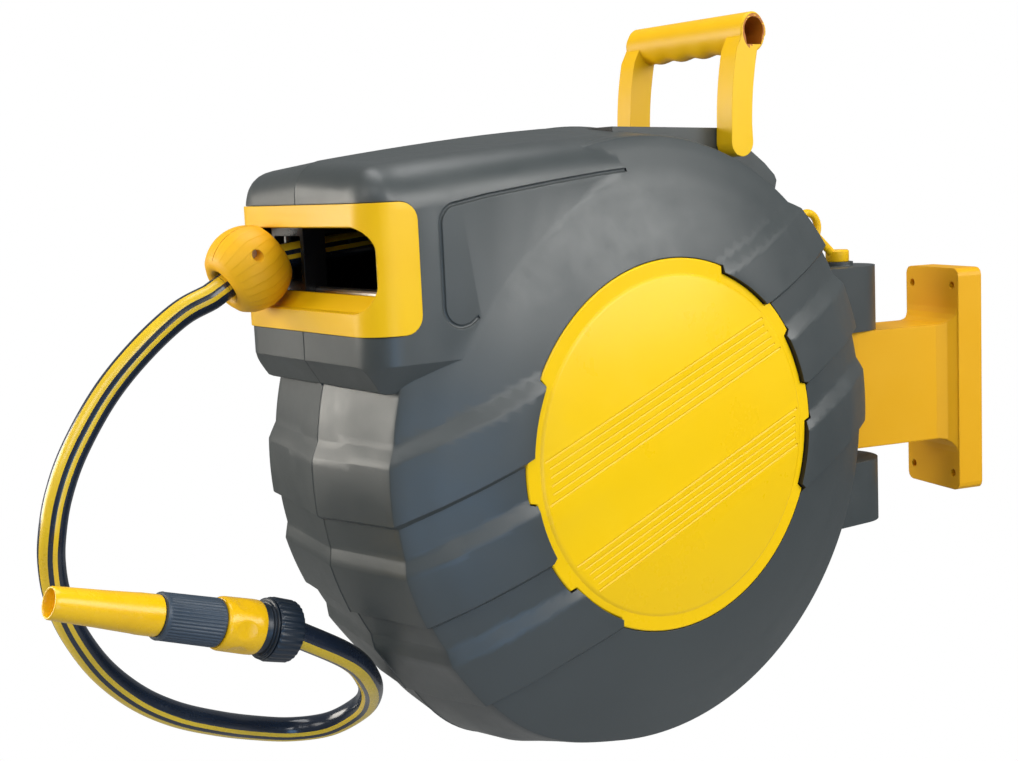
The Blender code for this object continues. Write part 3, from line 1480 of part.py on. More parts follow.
def build_ball_halves():
    half = BALL_HALF_LENGTH
    edge = math.sqrt(BALL_RADIUS**2 - half**2)
    profile = [(0.0, half), (edge - 0.004, half)]
    lean = math.asin(half / BALL_RADIUS)
    for i in range(9):
        angle = lean * 0.94 * (1 - i / 4)
        profile.append((BALL_RADIUS * math.cos(angle), BALL_RADIUS * math.sin(angle)))
    profile += [(edge - 0.004, -half), (0.0, -half)]
    ball = turned("ball", profile, 28, axis="Z", closed=False)
    moved(ball, ball_frame())
    bore = lead_route(HOSE_STEP)
    bore.append(bore[-1] + BALL_AXIS * 0.01)
    ball = cut(ball, tube("bore", bore, HOSE_OD / 2 + 2 * GAP, 3))
    recess_start = BALL_CENTRE + BALL_AXIS * (half - 0.003)
    recess = tube("recess", [recess_start, recess_start + BALL_AXIS * 0.02], HOSE_OD / 2 + 0.0025, 4)
    ball = cut(ball, recess)
    for side in (1, -1):
        frame = ball_screw_frame(side)
        head = cylinder("head", "Z", 0.013, 0.05, BALL_SCREW_HEAD + GAP, sides=14)
        shaft = cylinder("shaft", "Z", -0.013, 0.02, BALL_SCREW_RADIUS + GAP, sides=10)
        ball = cut(ball, moved(head, frame))
        ball = cut(ball, moved(shaft, frame))
    halves = []
    for name, side in (("ball_near", 1), ("ball_far", -1)):
        piece = add_object(name, ball.data.copy())
        near, far = sorted((side * GAP / 2, side * 0.05))
        block = box("half", (near, far), (-0.05, 0.05), (-0.05, 0.05))
        turn = ball_frame() @ Matrix.Rotation(BALL_SCREW_TURN, 4, "Z")
        halves.append(keep_inside(piece, moved(block, turn)))
    bpy.data.objects.remove(ball, do_unlink=True)
    return halves


def build_ball_screw(name, side):
    base = 0.013 + GAP
    profile = [
        (0.0, base + 0.0025),
        (BALL_SCREW_HEAD, base + 0.0025),
        (BALL_SCREW_HEAD, base),
        (BALL_SCREW_RADIUS, base),
        (BALL_SCREW_RADIUS, -0.012),
        (0.0, -0.012),
    ]
    screw = turned(name, profile, 12, axis="Z", closed=False)
    return moved(screw, ball_screw_frame(side))


# Nozzle set
def nozzle_axis():
    return (Vector(NOZZLE_TIP) - Vector(NUT_CENTRE)).normalized()


def nozzle_frame():
    return along(nozzle_axis(), NUT_CENTRE)


def nozzle_length():
    return (Vector(NOZZLE_TIP) - Vector(NUT_CENTRE)).length


def along_nozzle(item):
    return moved(item, nozzle_frame())


def free_hose_points():
    """Middle line of the free hose, straight where it leaves the ball and enters the nut."""
    start = BALL_CENTRE + BALL_AXIS * (BALL_HALF_LENGTH + GAP)
    axis = nozzle_axis()
    nut = Vector(NUT_CENTRE)
    bend = [start + BALL_AXIS * 0.010, *[Vector(p) for p in ROUTE]]
    bend += [nut - axis * (NUT_BACK + 0.014), nut - axis * (NUT_BACK + 0.001)]
    return [start, *smooth_route(bend, HOSE_STEP), nut + axis * GAP]


def build_hose_free():
    return tube("hose_free", free_hose_points(), HOSE_OD / 2, 3)


def ribbed(name, count, radius, depth, bore, start, end):
    outline = toothed_outline(count, radius - depth, radius, 0.75, 0.45)
    shape = extruded(name, [outline, circle(bore, 20)], "XY", start, end)
    return along_nozzle(shape)


def build_hose_nut():
    return ribbed("hose_nut", NUT_RIBS, NUT_RADIUS + NUT_RIB, NUT_RIB, HOSE_OD / 2 + GAP, -NUT_BACK, GAP)


def build_connector_body():
    start = 3 * GAP
    end = start + BODY_LENGTH
    socket = STEM_RADIUS + 2 * SEAL_WIRE + GAP
    step = GRIP_START - STEM_IN - 0.002
    profile = [
        (STEM_RADIUS - 0.003, start),
        (BODY_RADIUS + 2 * BODY_STEP_RISE, start),
        (BODY_RADIUS + 2 * BODY_STEP_RISE, start + BODY_STEP_LENGTH),
        (BODY_RADIUS + BODY_STEP_RISE, start + BODY_STEP_LENGTH),
        (BODY_RADIUS + BODY_STEP_RISE, start + 2 * BODY_STEP_LENGTH),
        (BODY_RADIUS, start + 2 * BODY_STEP_LENGTH),
        (BODY_RADIUS, end),
        (socket, end),
        (socket, step),
        (STEM_RADIUS - 0.003, step),
    ]
    return along_nozzle(turned("connector_body", profile, 24, axis="Z"))


def build_release_collar():
    start, end = COLLAR_START, GRIP_START - GAP
    waist = COLLAR_RADIUS - 0.0012
    bore = BODY_RADIUS + GAP
    profile = [
        (bore, start),
        (COLLAR_RADIUS - 0.0005, start),
        (COLLAR_RADIUS, start + 0.004),
        (waist, start + 0.013),
        (COLLAR_RADIUS, start + 0.023),
        (COLLAR_RADIUS - 0.0008, end),
        (bore, end),
    ]
    return along_nozzle(turned("release_collar", profile, 24, axis="Z"))


def build_nozzle_grip():
    """Fluted grip with its tail in the connector and its spout inside the barrel."""
    body = ribbed("nozzle_grip", NOZZLE_FLUTES, NOZZLE_GRIP_RADIUS + NOZZLE_FLUTE, NOZZLE_FLUTE, 0.004,
                  GRIP_START, GRIP_END)
    tail = GRIP_START - STEM_IN
    spout = nozzle_length() - 0.020
    profile = [
        (0.004, tail),
        (STEM_RADIUS, tail),
        (STEM_RADIUS, GRIP_START + 0.001),
        (0.004, GRIP_START + 0.001),
    ]
    body = fuse(body, along_nozzle(turned("tail", profile, 20, axis="Z")))
    profile = [
        (0.004, GRIP_END - 0.001),
        (SPOUT_RADIUS, GRIP_END - 0.001),
        (SPOUT_RADIUS, spout),
        (0.004, spout),
    ]
    return fuse(body, along_nozzle(turned("spout", profile, 16, axis="Z")))


def build_nozzle_seal():
    start = GRIP_START - STEM_IN * 0.55
    item = seal("nozzle_seal", STEM_RADIUS + GAP / 2, SEAL_WIRE - GAP / 4, start)
    return moved(moved(item, AXES["X"].inverted()), nozzle_frame())


def build_nozzle_barrel():
    """Spray barrel that screws over the spout."""
    start = GRIP_END + GAP
    end = nozzle_length()
    bore = SPOUT_RADIUS + 0.0006
    profile = [
        (bore, start),
        (BARREL_BACK_RADIUS, start),
        (BARREL_BACK_RADIUS - 0.0006, start + 0.012),
        (BARREL_TIP_RADIUS, end - 0.005),
        (BARREL_TIP_RADIUS, end),
        (BARREL_TIP_RADIUS - BARREL_SHELL, end),
        (0.0042, end - 0.014),
        (0.0042, end - 0.018),
        (bore, end - 0.018),
    ]
    return along_nozzle(turned("nozzle_barrel", profile, 24, axis="Z"))


# Ratchet and pawl
def build_ratchet_ring():
    """Saw-toothed ring; the steep sides meet the pawl when the spring winds the hose in."""
    root = RATCHET_RADIUS - RATCHET_DEPTH
    first = PAWL_ANGLE + PAWL_REACH_ANGLE + math.radians(1.5)
    points = []
    pitch = 2 * math.pi / RATCHET_TEETH
    for i in range(RATCHET_TEETH):
        start = first + i * pitch
        points.append(polar(root, start))
        points.append(polar(RATCHET_RADIUS, start + math.radians(1)))
        points.append(polar((RATCHET_RADIUS + root) / 2, start + pitch / 2))
    hole = circle(RATCHET_RADIUS - RATCHET_RING - RATCHET_DEPTH, 32)
    return extruded("ratchet_ring", [points, hole], "YZ", RATCHET_X, RATCHET_X + RATCHET_WIDTH)


def build_pawl():
    pivot = Vector(polar(PAWL_PIVOT_RADIUS, PAWL_ANGLE))
    tip = Vector(polar(RATCHET_RADIUS + PAWL_LIFT, PAWL_ANGLE + PAWL_REACH_ANGLE))
    toward = (tip - pivot).normalized()
    across = Vector((-toward.y, toward.x))
    turn = math.atan2(toward.y, toward.x)
    outline = arc(tuple(pivot), PAWL_HUB, turn + math.radians(60), turn + math.radians(300), 8)
    outline.append(tuple(tip - across * 0.0032 - toward * 0.001))
    outline.append(tuple(tip))
    outline.append(tuple(tip - toward * 0.005 + across * 0.001))
    hole = [(pivot.x + a, pivot.y + b) for a, b in circle(PAWL_PIN_RADIUS + GAP, 12)]
    start = RATCHET_X + GAP
    return extruded("pawl", [outline, hole], "YZ", start, RATCHET_X + RATCHET_WIDTH - GAP)


def build_pawl_pin():
    place = polar(PAWL_PIVOT_RADIUS, PAWL_ANGLE)
    return cylinder("pawl_pin", "X", RATCHET_X + GAP, CAVITY_X - 0.001 - GAP, PAWL_PIN_RADIUS, place, 12)


def build_pawl_spring():
    start = RATCHET_X + RATCHET_WIDTH + GAP
    item = ring("pawl_spring", PAWL_PIN_RADIUS + GAP, PAWL_PIN_RADIUS + 0.0015, start, start + 0.006, 16)
    y, z = polar(PAWL_PIVOT_RADIUS, PAWL_ANGLE)
    return moved(item, Matrix.Translation((0.0, y, z)))


def build_case_screw(index, angle):
    head = CASE_SCREW_START - GAP
    end = CASE_SCREW_START + CASE_SCREW_LENGTH
    profile = [
        (0.0, end),
        (CASE_SCREW_RADIUS, end),
        (CASE_SCREW_RADIUS, head),
        (CASE_SCREW_HEAD, head),
        (CASE_SCREW_HEAD, head - CASE_SCREW_HEAD_HEIGHT),
        (0.0, head - CASE_SCREW_HEAD_HEIGHT),
    ]
    screw = turned(f"case_screw_{index}", profile, 10, closed=False)
    y, z = polar(CASE_SCREW_CIRCLE, math.radians(angle))
    return moved(screw, Matrix.Translation((0.0, y, z)))


# Finishing
def finish(item, material, frame=None, smooth=30):
    """Give the piece its material, put its origin at the frame and hang it on the pivot."""
    frame = frame or Matrix.Identity(4)
    item.data.transform(frame.inverted())
    item.parent = SWIVEL
    item.matrix_parent_inverse = Matrix.Identity(4)
    item.matrix_basis = Matrix.Translation((0.0, -PIVOT_Y, 0.0)) @ frame
    item.data.materials.clear()
    item.data.materials.append(material)
    item.data.shade_smooth()
    item.data.set_sharp_from_angle(angle=math.radians(smooth))
    return item


def at(x, y, z):
    return Matrix.Translation((x, y, z))


def on_axle():
    return Matrix.Identity(4)


def assemble():
    grey = new_material("case_plastic", CASE_GREY, 0.38)
    yellow = new_material("yellow_plastic", YELLOW, 0.32)
    black = new_material("black_plastic", BLACK, 0.45)
    rubber = new_material("hose_rubber", HOSE_BLUE, 0.35)
    nozzle = new_material("nozzle_plastic", NOZZLE_GREY, 0.42)
    steel = new_material("steel", STEEL, 0.30, 1.0)
    brass = new_material("brass", BRASS, 0.30, 1.0)
    zinc = new_material("zinc_screws", ZINC, 0.35, 1.0)

    pivot = at(0.0, PIVOT_Y, 0.0)
    for half in build_case():
        finish(half, grey, pivot, 25)
    finish(build_bezel(), yellow, pivot)
    finish(build_disc("disc_cover", 1, None), yellow, pivot)
    finish(build_disc("inlet_cover", -1, INLET_COLLAR_RADIUS + 0.003), yellow, pivot)
    for index, angle in enumerate(CASE_SCREW_ANGLES, 1):
        finish(build_case_screw(index, angle), zinc)

    bracket = finish(build_bracket(), yellow)
    bracket.matrix_basis = Matrix.Rotation(-SWIVEL_REST, 4, "Z")
    bracket.parent = None
    bracket.location = SWIVEL.location
    finish(build_pivot_pin(), steel, pivot)
    finish(build_pin_ring(), yellow, pivot)

    hinge = at(0.0, HANDLE_Y, HANDLE_Z)
    finish(build_handle(), yellow, hinge)
    finish(build_handle_pin("handle_pin_left", -1), steel, hinge)
    finish(build_handle_pin("handle_pin_right", 1), steel, hinge)

    finish(build_axle(), brass)
    finish(build_inlet_connector(), brass)
    finish(build_inlet_seal(), black)
    finish(build_hose_elbow(), black, on_axle())
    finish(build_axle_seal("axle_seal_left", -1), black, on_axle())
    finish(build_axle_seal("axle_seal_right", 1), black, on_axle())
    for name, side in (("left", -1), ("right", 1)):
        finish(build_flange(f"flange_{name}", side), black, on_axle())
        finish(build_hub_bush(f"hub_bush_{name}", side), brass, on_axle())
    finish(build_drum_core(), black, on_axle())
    finish(build_hose_pack(), rubber, on_axle())
    finish(build_spring_barrel(), zinc, on_axle())
    finish(build_mainspring(), steel, on_axle())
    finish(build_drive_gear(), black, on_axle())
    finish(build_ratchet_ring(), zinc, on_axle())

    idler = at(*idler_centre())
    finish(build_idler_gear(), black, idler)
    finish(build_idler_pin(), steel, idler)
    screw = at(*SCREW_CENTRE)
    finish(build_guide_screw(), steel, screw)
    finish(build_screw_gear(), black, screw)

    finish(build_guide_rod(), steel, at(0.0, ROD_Y, ROD_Z))
    guide = at(CARRIAGE_X, ROD_Y, ROD_Z)
    finish(build_carriage(), black, guide)
    for name, side in (("left", -1), ("right", 1)):
        place = at(CARRIAGE_X + side * roller_offset(), ROD_Y - 0.001, EYE_Z)
        finish(build_roller(f"roller_{name}", side), black, place)
    finish(build_hose_lead(), rubber, guide)

    for half in build_ball_halves():
        finish(half, yellow, ball_frame())
    for name, side in (("near", 1), ("far", -1)):
        finish(build_ball_screw(f"ball_screw_{name}", side), zinc, ball_screw_frame(side))
    finish(build_hose_free(), rubber, at(*BALL_CENTRE))
    finish(build_hose_nut(), black, nozzle_frame())
    finish(build_connector_body(), black, nozzle_frame())
    finish(build_release_collar(), yellow, nozzle_frame())
    finish(build_nozzle_seal(), black, nozzle_frame())
    finish(build_nozzle_grip(), nozzle, nozzle_frame())
    finish(build_nozzle_barrel(), yellow, nozzle_frame())

    pawl_place = at(0.0, *polar(PAWL_PIVOT_RADIUS, PAWL_ANGLE))
    finish(build_pawl(), zinc, pawl_place)
    finish(build_pawl_pin(), steel, pawl_place)
    finish(build_pawl_spring(), steel, pawl_place)


clear_scene()
PARTS = new_collection("hose_reel")
CUTTERS = new_collection("cutters")
SWIVEL = bpy.data.objects.new("swivel_axis", None)
SWIVEL.location = (
    -WALL_DISTANCE * math.sin(SWIVEL_REST),
    -WALL_DISTANCE * math.cos(SWIVEL_REST),
    0.0,
)
PARTS.objects.link(SWIVEL)
assemble()
bpy.context.view_layer.update()
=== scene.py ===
import json
import math

import bmesh
import bpy
from mathutils import Matrix, Vector


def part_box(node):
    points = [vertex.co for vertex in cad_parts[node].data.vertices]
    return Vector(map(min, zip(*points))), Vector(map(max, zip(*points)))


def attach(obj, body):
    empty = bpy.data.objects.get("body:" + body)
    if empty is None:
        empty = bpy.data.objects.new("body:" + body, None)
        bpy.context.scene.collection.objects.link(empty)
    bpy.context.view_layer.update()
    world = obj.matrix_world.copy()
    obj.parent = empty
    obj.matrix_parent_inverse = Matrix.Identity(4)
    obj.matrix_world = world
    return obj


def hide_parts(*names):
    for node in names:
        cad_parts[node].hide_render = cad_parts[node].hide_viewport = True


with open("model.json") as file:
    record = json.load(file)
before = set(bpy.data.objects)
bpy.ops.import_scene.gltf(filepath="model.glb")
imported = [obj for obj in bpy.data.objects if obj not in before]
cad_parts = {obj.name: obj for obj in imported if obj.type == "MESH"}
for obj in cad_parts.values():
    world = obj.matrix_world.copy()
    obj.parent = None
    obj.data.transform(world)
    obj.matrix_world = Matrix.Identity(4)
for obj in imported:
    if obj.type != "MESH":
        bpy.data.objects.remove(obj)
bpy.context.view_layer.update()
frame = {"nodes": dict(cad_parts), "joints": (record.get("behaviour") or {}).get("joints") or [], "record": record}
JOINTS = {joint["name"]: joint for joint in frame["joints"]}
NODES = frame["nodes"]

# The case's own axes start at the drum's centre: X along the axle, Y to the wall, Z up
DRUM = Vector(JOINTS["drum_turn"]["pos_m"])
TO_ROW = Matrix.Translation(DRUM)

# Sizes shared with the solids, in metres
GAP = 0.0003
WALL = 0.003
HOUSING_WALL = 0.006
HOSE_OD = 0.0165
CORE_RADIUS = 0.082
LAYERS = 4
CASE_RADIUS = 0.207
SHOULDER_DROP = 0.009
SHOULDER_RADIUS = CASE_RADIUS - SHOULDER_DROP
SHOULDER_X = 0.075
BEVEL_DROP = 0.028
CREASE_RADIUS = SHOULDER_RADIUS - BEVEL_DROP
CREASE_X = 0.086
SIDE_X = 0.099
DISC_RADIUS = 0.120
DISC_NOTCH = 0.0045
DISC_THICKNESS = 0.008
DISC_PROUD = 0.002
DISC_EDGE_GAP = 0.0005
BAND_TILT = math.radians(21.2)
BAND_LIFT = 0.0038
BAND_LEDGE = 0.010
BAND_STEP = 0.003
BAND_SPANS = ((0.050, 0.083), (-0.016, 0.018), (-0.0815, -0.047))
ACROSS_BANDS = Vector((0.0, -math.sin(BAND_TILT), math.cos(BAND_TILT)))
ALONG_BANDS = Vector((0.0, math.cos(BAND_TILT), math.sin(BAND_TILT)))
FOOT_ANGLE = math.radians(238)
FOOT_HALF_SPREAD = math.radians(22)
FOOT_BULGE = 0.011
HOUSING_HALF = 0.084
FRONT_Y = -0.211
LIP_Z = 0.071
CHAMFER_DROP = 0.017
CHAMFER_IN = 0.011
CORNER_RADIUS = 0.022
FRONT_EDGE_RADIUS = 0.018
SIDE_EDGE_RADIUS = 0.026
CORNER_EDGE_RADIUS = 0.010
REAR_TAPER = 0.006
TOP_TUCK = 0.0004
TOP_FALL = 0.0187
PANEL_BACK = 0.048
PANEL_ABOVE_LIP = 0.019
PANEL_CORNER = 0.012
MOUTH_HEIGHT = 0.1265
MOUTH_HALF_HEIGHT = 0.0245
MOUTH_HALF_WIDTH = 0.080
MOUTH_CORNER = 0.014
MOUTH_DEPTH = 0.014
SILL_RISE = 0.010
BEZEL_HALF_HEIGHT = 0.038
BEZEL_CORNER = 0.011
BEZEL_WRAP = 0.033
BEZEL_SHELL = 0.003
BEZEL_PROUD = 0.001
AXLE_RADIUS = 0.014
PIVOT_Y = 0.258
PIN_RADIUS = 0.006
EAR_RADIUS = 0.0285
EARS = ((-0.105, -0.056), (0.0453, 0.0953))
RING_RADIUS = 0.0115
RING_WIRE = 0.003
RING_FORWARD = 0.033
RING_RISE = 0.031
RING_HUB_RADIUS = 0.009
RING_HUB_HEIGHT = 0.009
CASE_SCREW_CIRCLE = 0.189
CASE_SCREW_ANGLES = (48.6, 217.5, 288.5, 340.5)
HANDLE_Y = 0.101
HANDLE_STAND = 0.010
HANDLE_Z = math.sqrt((CASE_RADIUS + HANDLE_STAND) ** 2 - HANDLE_Y**2)
HANDLE_INNER_HALF = 0.046
HANDLE_PIN_RADIUS = 0.004
POST_OUTER = 0.061
POST_HALF_WIDTH = 0.009
POST_FOOT_RADIUS = 0.010
GRIP_BACK = 0.013
GRIP_RISE = 0.074
GRIP_HALF_WIDTH = 0.0115
GRIP_HALF_HEIGHT = 0.0135
ROD_BACK = 0.024
EYE_RISE = 0.0075
BALL_RADIUS = 0.027
BALL_HALF_LENGTH = 0.0205
BALL_TILT = math.radians(30)
BALL_AXIS = Vector((0.0, -math.cos(BALL_TILT), -math.sin(BALL_TILT)))
BALL_CENTRE = Vector((-0.04125, -0.22437, 0.1265))
BALL_SCREW_TURN = math.radians(-12)
BALL_SCREW_OFFSET = 0.015
NUT_CENTRE = Vector((0.0025, -0.2505, -0.089))
NOZZLE_TIP = Vector((0.009, -0.3825, -0.045))
NOZZLE_AXIS = (NOZZLE_TIP - NUT_CENTRE).normalized()
NOZZLE_LENGTH = (NOZZLE_TIP - NUT_CENTRE).length
NUT_BACK = 0.0175
BODY_END = 0.0289
COLLAR_START = 0.0077
STEM_RADIUS = 0.0080
STEM_START = 0.020
GRIP_START = 0.034
GRIP_END = 0.073

# Finer forms that only this model has
SIDE_SWELL = 0.003
RIDGE = 0.0004
PANEL_GROOVE = 0.0013
BALL_LINES = 26
NUT_RIBS = 30
DIMPLES = 6
DIMPLE_CENTRE = 0.0215
DIMPLE_DEPTH = 0.0012
FLUTES = 40
FLUTE_DEPTH = 0.0008
FINGER_WAVE = 0.0008
EDGE_ROUND = 0.0012
HOSE_ANGLES = 48
WIDE_STRIPE = (16, 62)
THIN_STRIPE = (83, 103)
HOSE_SIDE = Vector((0.0, -0.5, 0.87))

# Where the free hose runs, from the ball to the nut
ROUTE = (
    (-0.044, -0.271, 0.102), (-0.046, -0.297, 0.082), (-0.050, -0.320, 0.057),
    (-0.053, -0.340, 0.026), (-0.055, -0.351, 0.0), (-0.057, -0.356, -0.023),
    (-0.062, -0.356, -0.042), (-0.067, -0.3525, -0.063), (-0.073, -0.343, -0.088),
    (-0.079, -0.3255, -0.117), (-0.084, -0.302, -0.142), (-0.086, -0.2765, -0.160),
    (-0.091, -0.2465, -0.175), (-0.0995, -0.2165, -0.188), (-0.0985, -0.188, -0.196),
    (-0.0835, -0.166, -0.1935), (-0.0615, -0.1545, -0.1795), (-0.039, -0.158, -0.163),
    (-0.0145, -0.1725, -0.142), (0.0, -0.1935, -0.120),
)


# Camera
def add_camera():
    """The photograph's own view; the camera's place is measured from the drum's centre."""
    azimuth, elevation, roll = math.radians(54.92), math.radians(7.52), math.radians(-2.66)
    level = math.cos(elevation)
    forward = -Vector((math.sin(azimuth) * level, -math.cos(azimuth) * level, math.sin(elevation)))
    right = forward.cross(Vector((0, 0, 1))).normalized()
    up = right.cross(forward)
    right_rolled = right * math.cos(roll) + up * math.sin(roll)
    up_rolled = up * math.cos(roll) - right * math.sin(roll)
    data = bpy.data.cameras.new("photo_camera")
    data.sensor_width = 36.0
    data.lens = 54.43
    camera = new_object("photo_camera", data)
    matrix = Matrix((right_rolled, up_rolled, -forward)).transposed().to_4x4()
    depth = 1.06660
    sideways, upward = -0.047475 * depth, 0.031702 * depth
    matrix.translation = DRUM - forward * depth + right_rolled * sideways + up_rolled * upward
    camera.matrix_world = matrix
    bpy.context.scene.camera = camera


# Materials
class Nodes:
    """Short way to add nodes and links to one material."""

    def __init__(self, name):
        self.material = bpy.data.materials.new(name)
        self.material.use_nodes = True
        self.tree = self.material.node_tree
        self.shader = self.tree.nodes["Principled BSDF"]
        self.place = None

    def add(self, kind, values=None, **attributes):
        """New node, with the values of its sockets and its attributes."""
        node = self.tree.nodes.new(kind)
        for name, value in attributes.items():
            setattr(node, name, value)
        for socket, value in (values or {}).items():
            node.inputs[socket].default_value = value
        return node

    def link(self, output, target):
        self.tree.links.new(output, target)

    def even(self, socket, value):
        """Shader value that is the same all over."""
        self.shader.inputs[socket].default_value = value

    def vary(self, socket, output):
        """Shader value that another node gives."""
        self.link(output, self.shader.inputs[socket])

    def coords(self):
        if self.place is None:
            self.place = self.add("ShaderNodeTexCoord")
        return self.place.outputs["Object"]

    def noise(self, scale, detail, roughness=0.5):
        node = self.add("ShaderNodeTexNoise", {"Scale": scale, "Detail": detail, "Roughness": roughness})
        self.link(self.coords(), node.inputs["Vector"])
        return node.outputs["Fac"]

    def ramp(self, source, stops):
        node = self.add("ShaderNodeValToRGB")
        for element, (place, colour) in zip(node.color_ramp.elements, stops):
            element.position = place
            element.color = (*colour, 1.0)
        self.link(source, node.inputs["Fac"])
        return node.outputs["Color"]

    def mottle(self, scale, deep, colour, low=0.30, high=0.70):
        """Base colour in soft patches between two tones."""
        self.vary("Base Color", self.ramp(self.noise(scale, 4.0, 0.6), [(low, deep), (high, colour)]))

    def map_range(self, source, low, high, to_low, to_high):
        limits = {"From Min": low, "From Max": high, "To Min": to_low, "To Max": to_high}
        node = self.add("ShaderNodeMapRange", limits)
        self.link(source, node.inputs["Value"])
        return node.outputs["Result"]

    def maths(self, operation, *values):
        node = self.add("ShaderNodeMath", operation=operation)
        for socket, value in zip(node.inputs, values):
            if isinstance(value, float):
                socket.default_value = value
            else:
                self.link(value, socket)
        return node.outputs["Value"]

    def edge_normal(self, radius):
        return self.add("ShaderNodeBevel", {"Radius": radius}, samples=4).outputs["Normal"]

    def bump(self, height, strength, distance, normal=None):
        node = self.add("ShaderNodeBump", {"Strength": strength, "Distance": distance})
        self.link(height, node.inputs["Height"])
        if normal is not None:
            self.link(normal, node.inputs["Normal"])
        return node.outputs["Normal"]


def moulded_plastic(name, colour, deep, roughness, grain, edge=0.0008, mottle=9.0, specular=0.5):
    """Moulded plastic: fine grain, soft changes of colour and sheen, rounded edges."""
    n = Nodes(name)
    n.mottle(mottle, deep, colour)
    patches = n.noise(mottle * 4.0, 5.0, 0.65)
    n.vary("Roughness", n.map_range(patches, 0.30, 0.72, roughness - 0.06, roughness + 0.08))
    n.even("Specular IOR Level", specular)
    normal = n.edge_normal(edge) if edge else None
    n.vary("Normal", n.bump(n.noise(grain, 2.0), 0.10, 0.0004, normal))
    return n.material


def ball_plastic(name, colour, deep):
    """Yellow plastic with the mould's fine lines along the ball, from end to end."""
    n = Nodes(name)
    n.mottle(20.0, deep, colour)
    n.even("Roughness", 0.50)
    n.even("Specular IOR Level", 0.35)
    turn = n.add("ShaderNodeMapping", {"Rotation": (math.pi / 2 - BALL_TILT, 0.0, 0.0)})
    n.link(n.coords(), turn.inputs["Vector"])
    split = n.add("ShaderNodeSeparateXYZ")
    n.link(turn.outputs["Vector"], split.inputs["Vector"])
    angle = n.maths("ARCTAN2", split.outputs["X"], split.outputs["Y"])
    bent = n.maths("ADD", angle, n.maths("MULTIPLY", n.noise(60.0, 2.0), 0.16))
    tooth = n.maths("FRACT", n.maths("MULTIPLY", bent, BALL_LINES / (2 * math.pi)))
    sharp = n.ramp(tooth, [(0.0, (0.0,) * 3), (0.16, (1.0,) * 3)])
    ends = n.map_range(n.maths("ABSOLUTE", split.outputs["Z"]), 0.0165, 0.0185, 0.0, 1.0)
    height = n.maths("MAXIMUM", sharp, ends)
    n.vary("Normal", n.bump(height, 0.45, 0.0005, n.edge_normal(0.0008)))
    return n.material


def hose_skin(name, colour, deep, roughness, coat):
    """Smooth extruded hose with slight dirt and waviness along it."""
    n = Nodes(name)
    n.mottle(30.0, deep, colour, 0.25, 0.65)
    smear = n.noise(85.0, 4.0, 0.6)
    n.vary("Roughness", n.map_range(smear, 0.3, 0.7, roughness - 0.05, roughness + 0.09))
    n.even("Coat Weight", coat)
    n.even("Coat Roughness", 0.12)
    n.vary("Normal", n.bump(n.noise(420.0, 2.0), 0.06, 0.0004))
    return n.material


def turned_metal(name, colour, dark, roughness):
    """Metal with fine marks from turning or drawing."""
    n = Nodes(name)
    n.mottle(60.0, dark, colour)
    n.even("Metallic", 1.0)
    n.even("Roughness", roughness)
    n.vary("Normal", n.bump(n.noise(900.0, 2.0), 0.15, 0.0002, n.edge_normal(0.0004)))
    return n.material


YELLOW = (0.90, 0.545, 0.003)
ORANGE = (0.86, 0.48, 0.003)

# Name, colour, deeper colour, roughness, grain, edge rounding, patches and specular level
PLASTICS = {
    "case": ("case_grey", (0.050, 0.058, 0.058), (0.041, 0.049, 0.050), 0.40, 1600.0, 0.0009, 7.0, 0.62),
    # Near-black copy of the case grey for the case's inner faces: painted shade inside the case
    "inside": ("case_inside_painted_shade", (0.008, 0.008, 0.008), (0.005, 0.005, 0.005), 0.55, 900.0, 0.0),
    "yellow": ("yellow_moulding", YELLOW, ORANGE, 0.38, 1400.0, 0.0008, 9.0, 0.35),
    "bracket": ("bracket_yellow", (0.80, 0.40, 0.004), (0.76, 0.37, 0.003), 0.46, 900.0, 0.0016, 9.0, 0.3),
    "disc": ("disc_yellow", (0.93, 0.585, 0.002), (0.91, 0.555, 0.002), 0.30, 1800.0, 0.0006, 5.0, 0.3),
    # Darker, deeper orange copy of the yellow for the grip's bore: painted shade, with the warmer light bounced
    # inside the hollow painted in as well
    "hollow": ("handle_hollow_painted_shade", (0.50, 0.16, 0.006), (0.42, 0.12, 0.005), 0.5, 900.0, 0.0),
    "black": ("black_moulding", (0.008, 0.008, 0.009), (0.005, 0.005, 0.006), 0.30, 900.0),
    "nut": ("nut_blue", (0.011, 0.021, 0.036), (0.008, 0.016, 0.028), 0.36, 900.0, 0.0004, 30.0),
    "grip": ("grip_blue", (0.045, 0.066, 0.094), (0.038, 0.057, 0.082), 0.45, 1300.0, 0.0003, 25.0),
    "barrel": ("barrel_yellow", (0.95, 0.56, 0.004), ORANGE, 0.26, 1200.0, 0.0004, 18.0, 0.45),
}


def make_materials():
    made = {key: moulded_plastic(*values) for key, values in PLASTICS.items()}
    made["ball"] = ball_plastic("ball_yellow", (0.93, 0.49, 0.006), (0.88, 0.44, 0.005))
    made["navy"] = hose_skin("hose_navy", (0.012, 0.021, 0.040), (0.009, 0.015, 0.029), 0.22, 0.4)
    made["stripe"] = hose_skin("hose_stripe", (0.84, 0.57, 0.020), (0.74, 0.49, 0.016), 0.28, 0.3)
    made["steel"] = turned_metal("steel_turned", (0.60, 0.60, 0.59), (0.48, 0.48, 0.48), 0.28)
    made["brass"] = turned_metal("brass_turned", (0.72, 0.50, 0.20), (0.60, 0.40, 0.15), 0.28)
    made["zinc"] = turned_metal("zinc_plated", (0.55, 0.56, 0.58), (0.44, 0.45, 0.47), 0.36)
    return made


# Mesh helpers
def new_object(name, data):
    item = bpy.data.objects.new(name, data)
    bpy.context.scene.collection.objects.link(item)
    return item


def object_from_bmesh(name, bm):
    bmesh.ops.recalc_face_normals(bm, faces=bm.faces)
    mesh = bpy.data.meshes.new(name)
    bm.to_mesh(mesh)
    bm.free()
    return new_object(name, mesh)


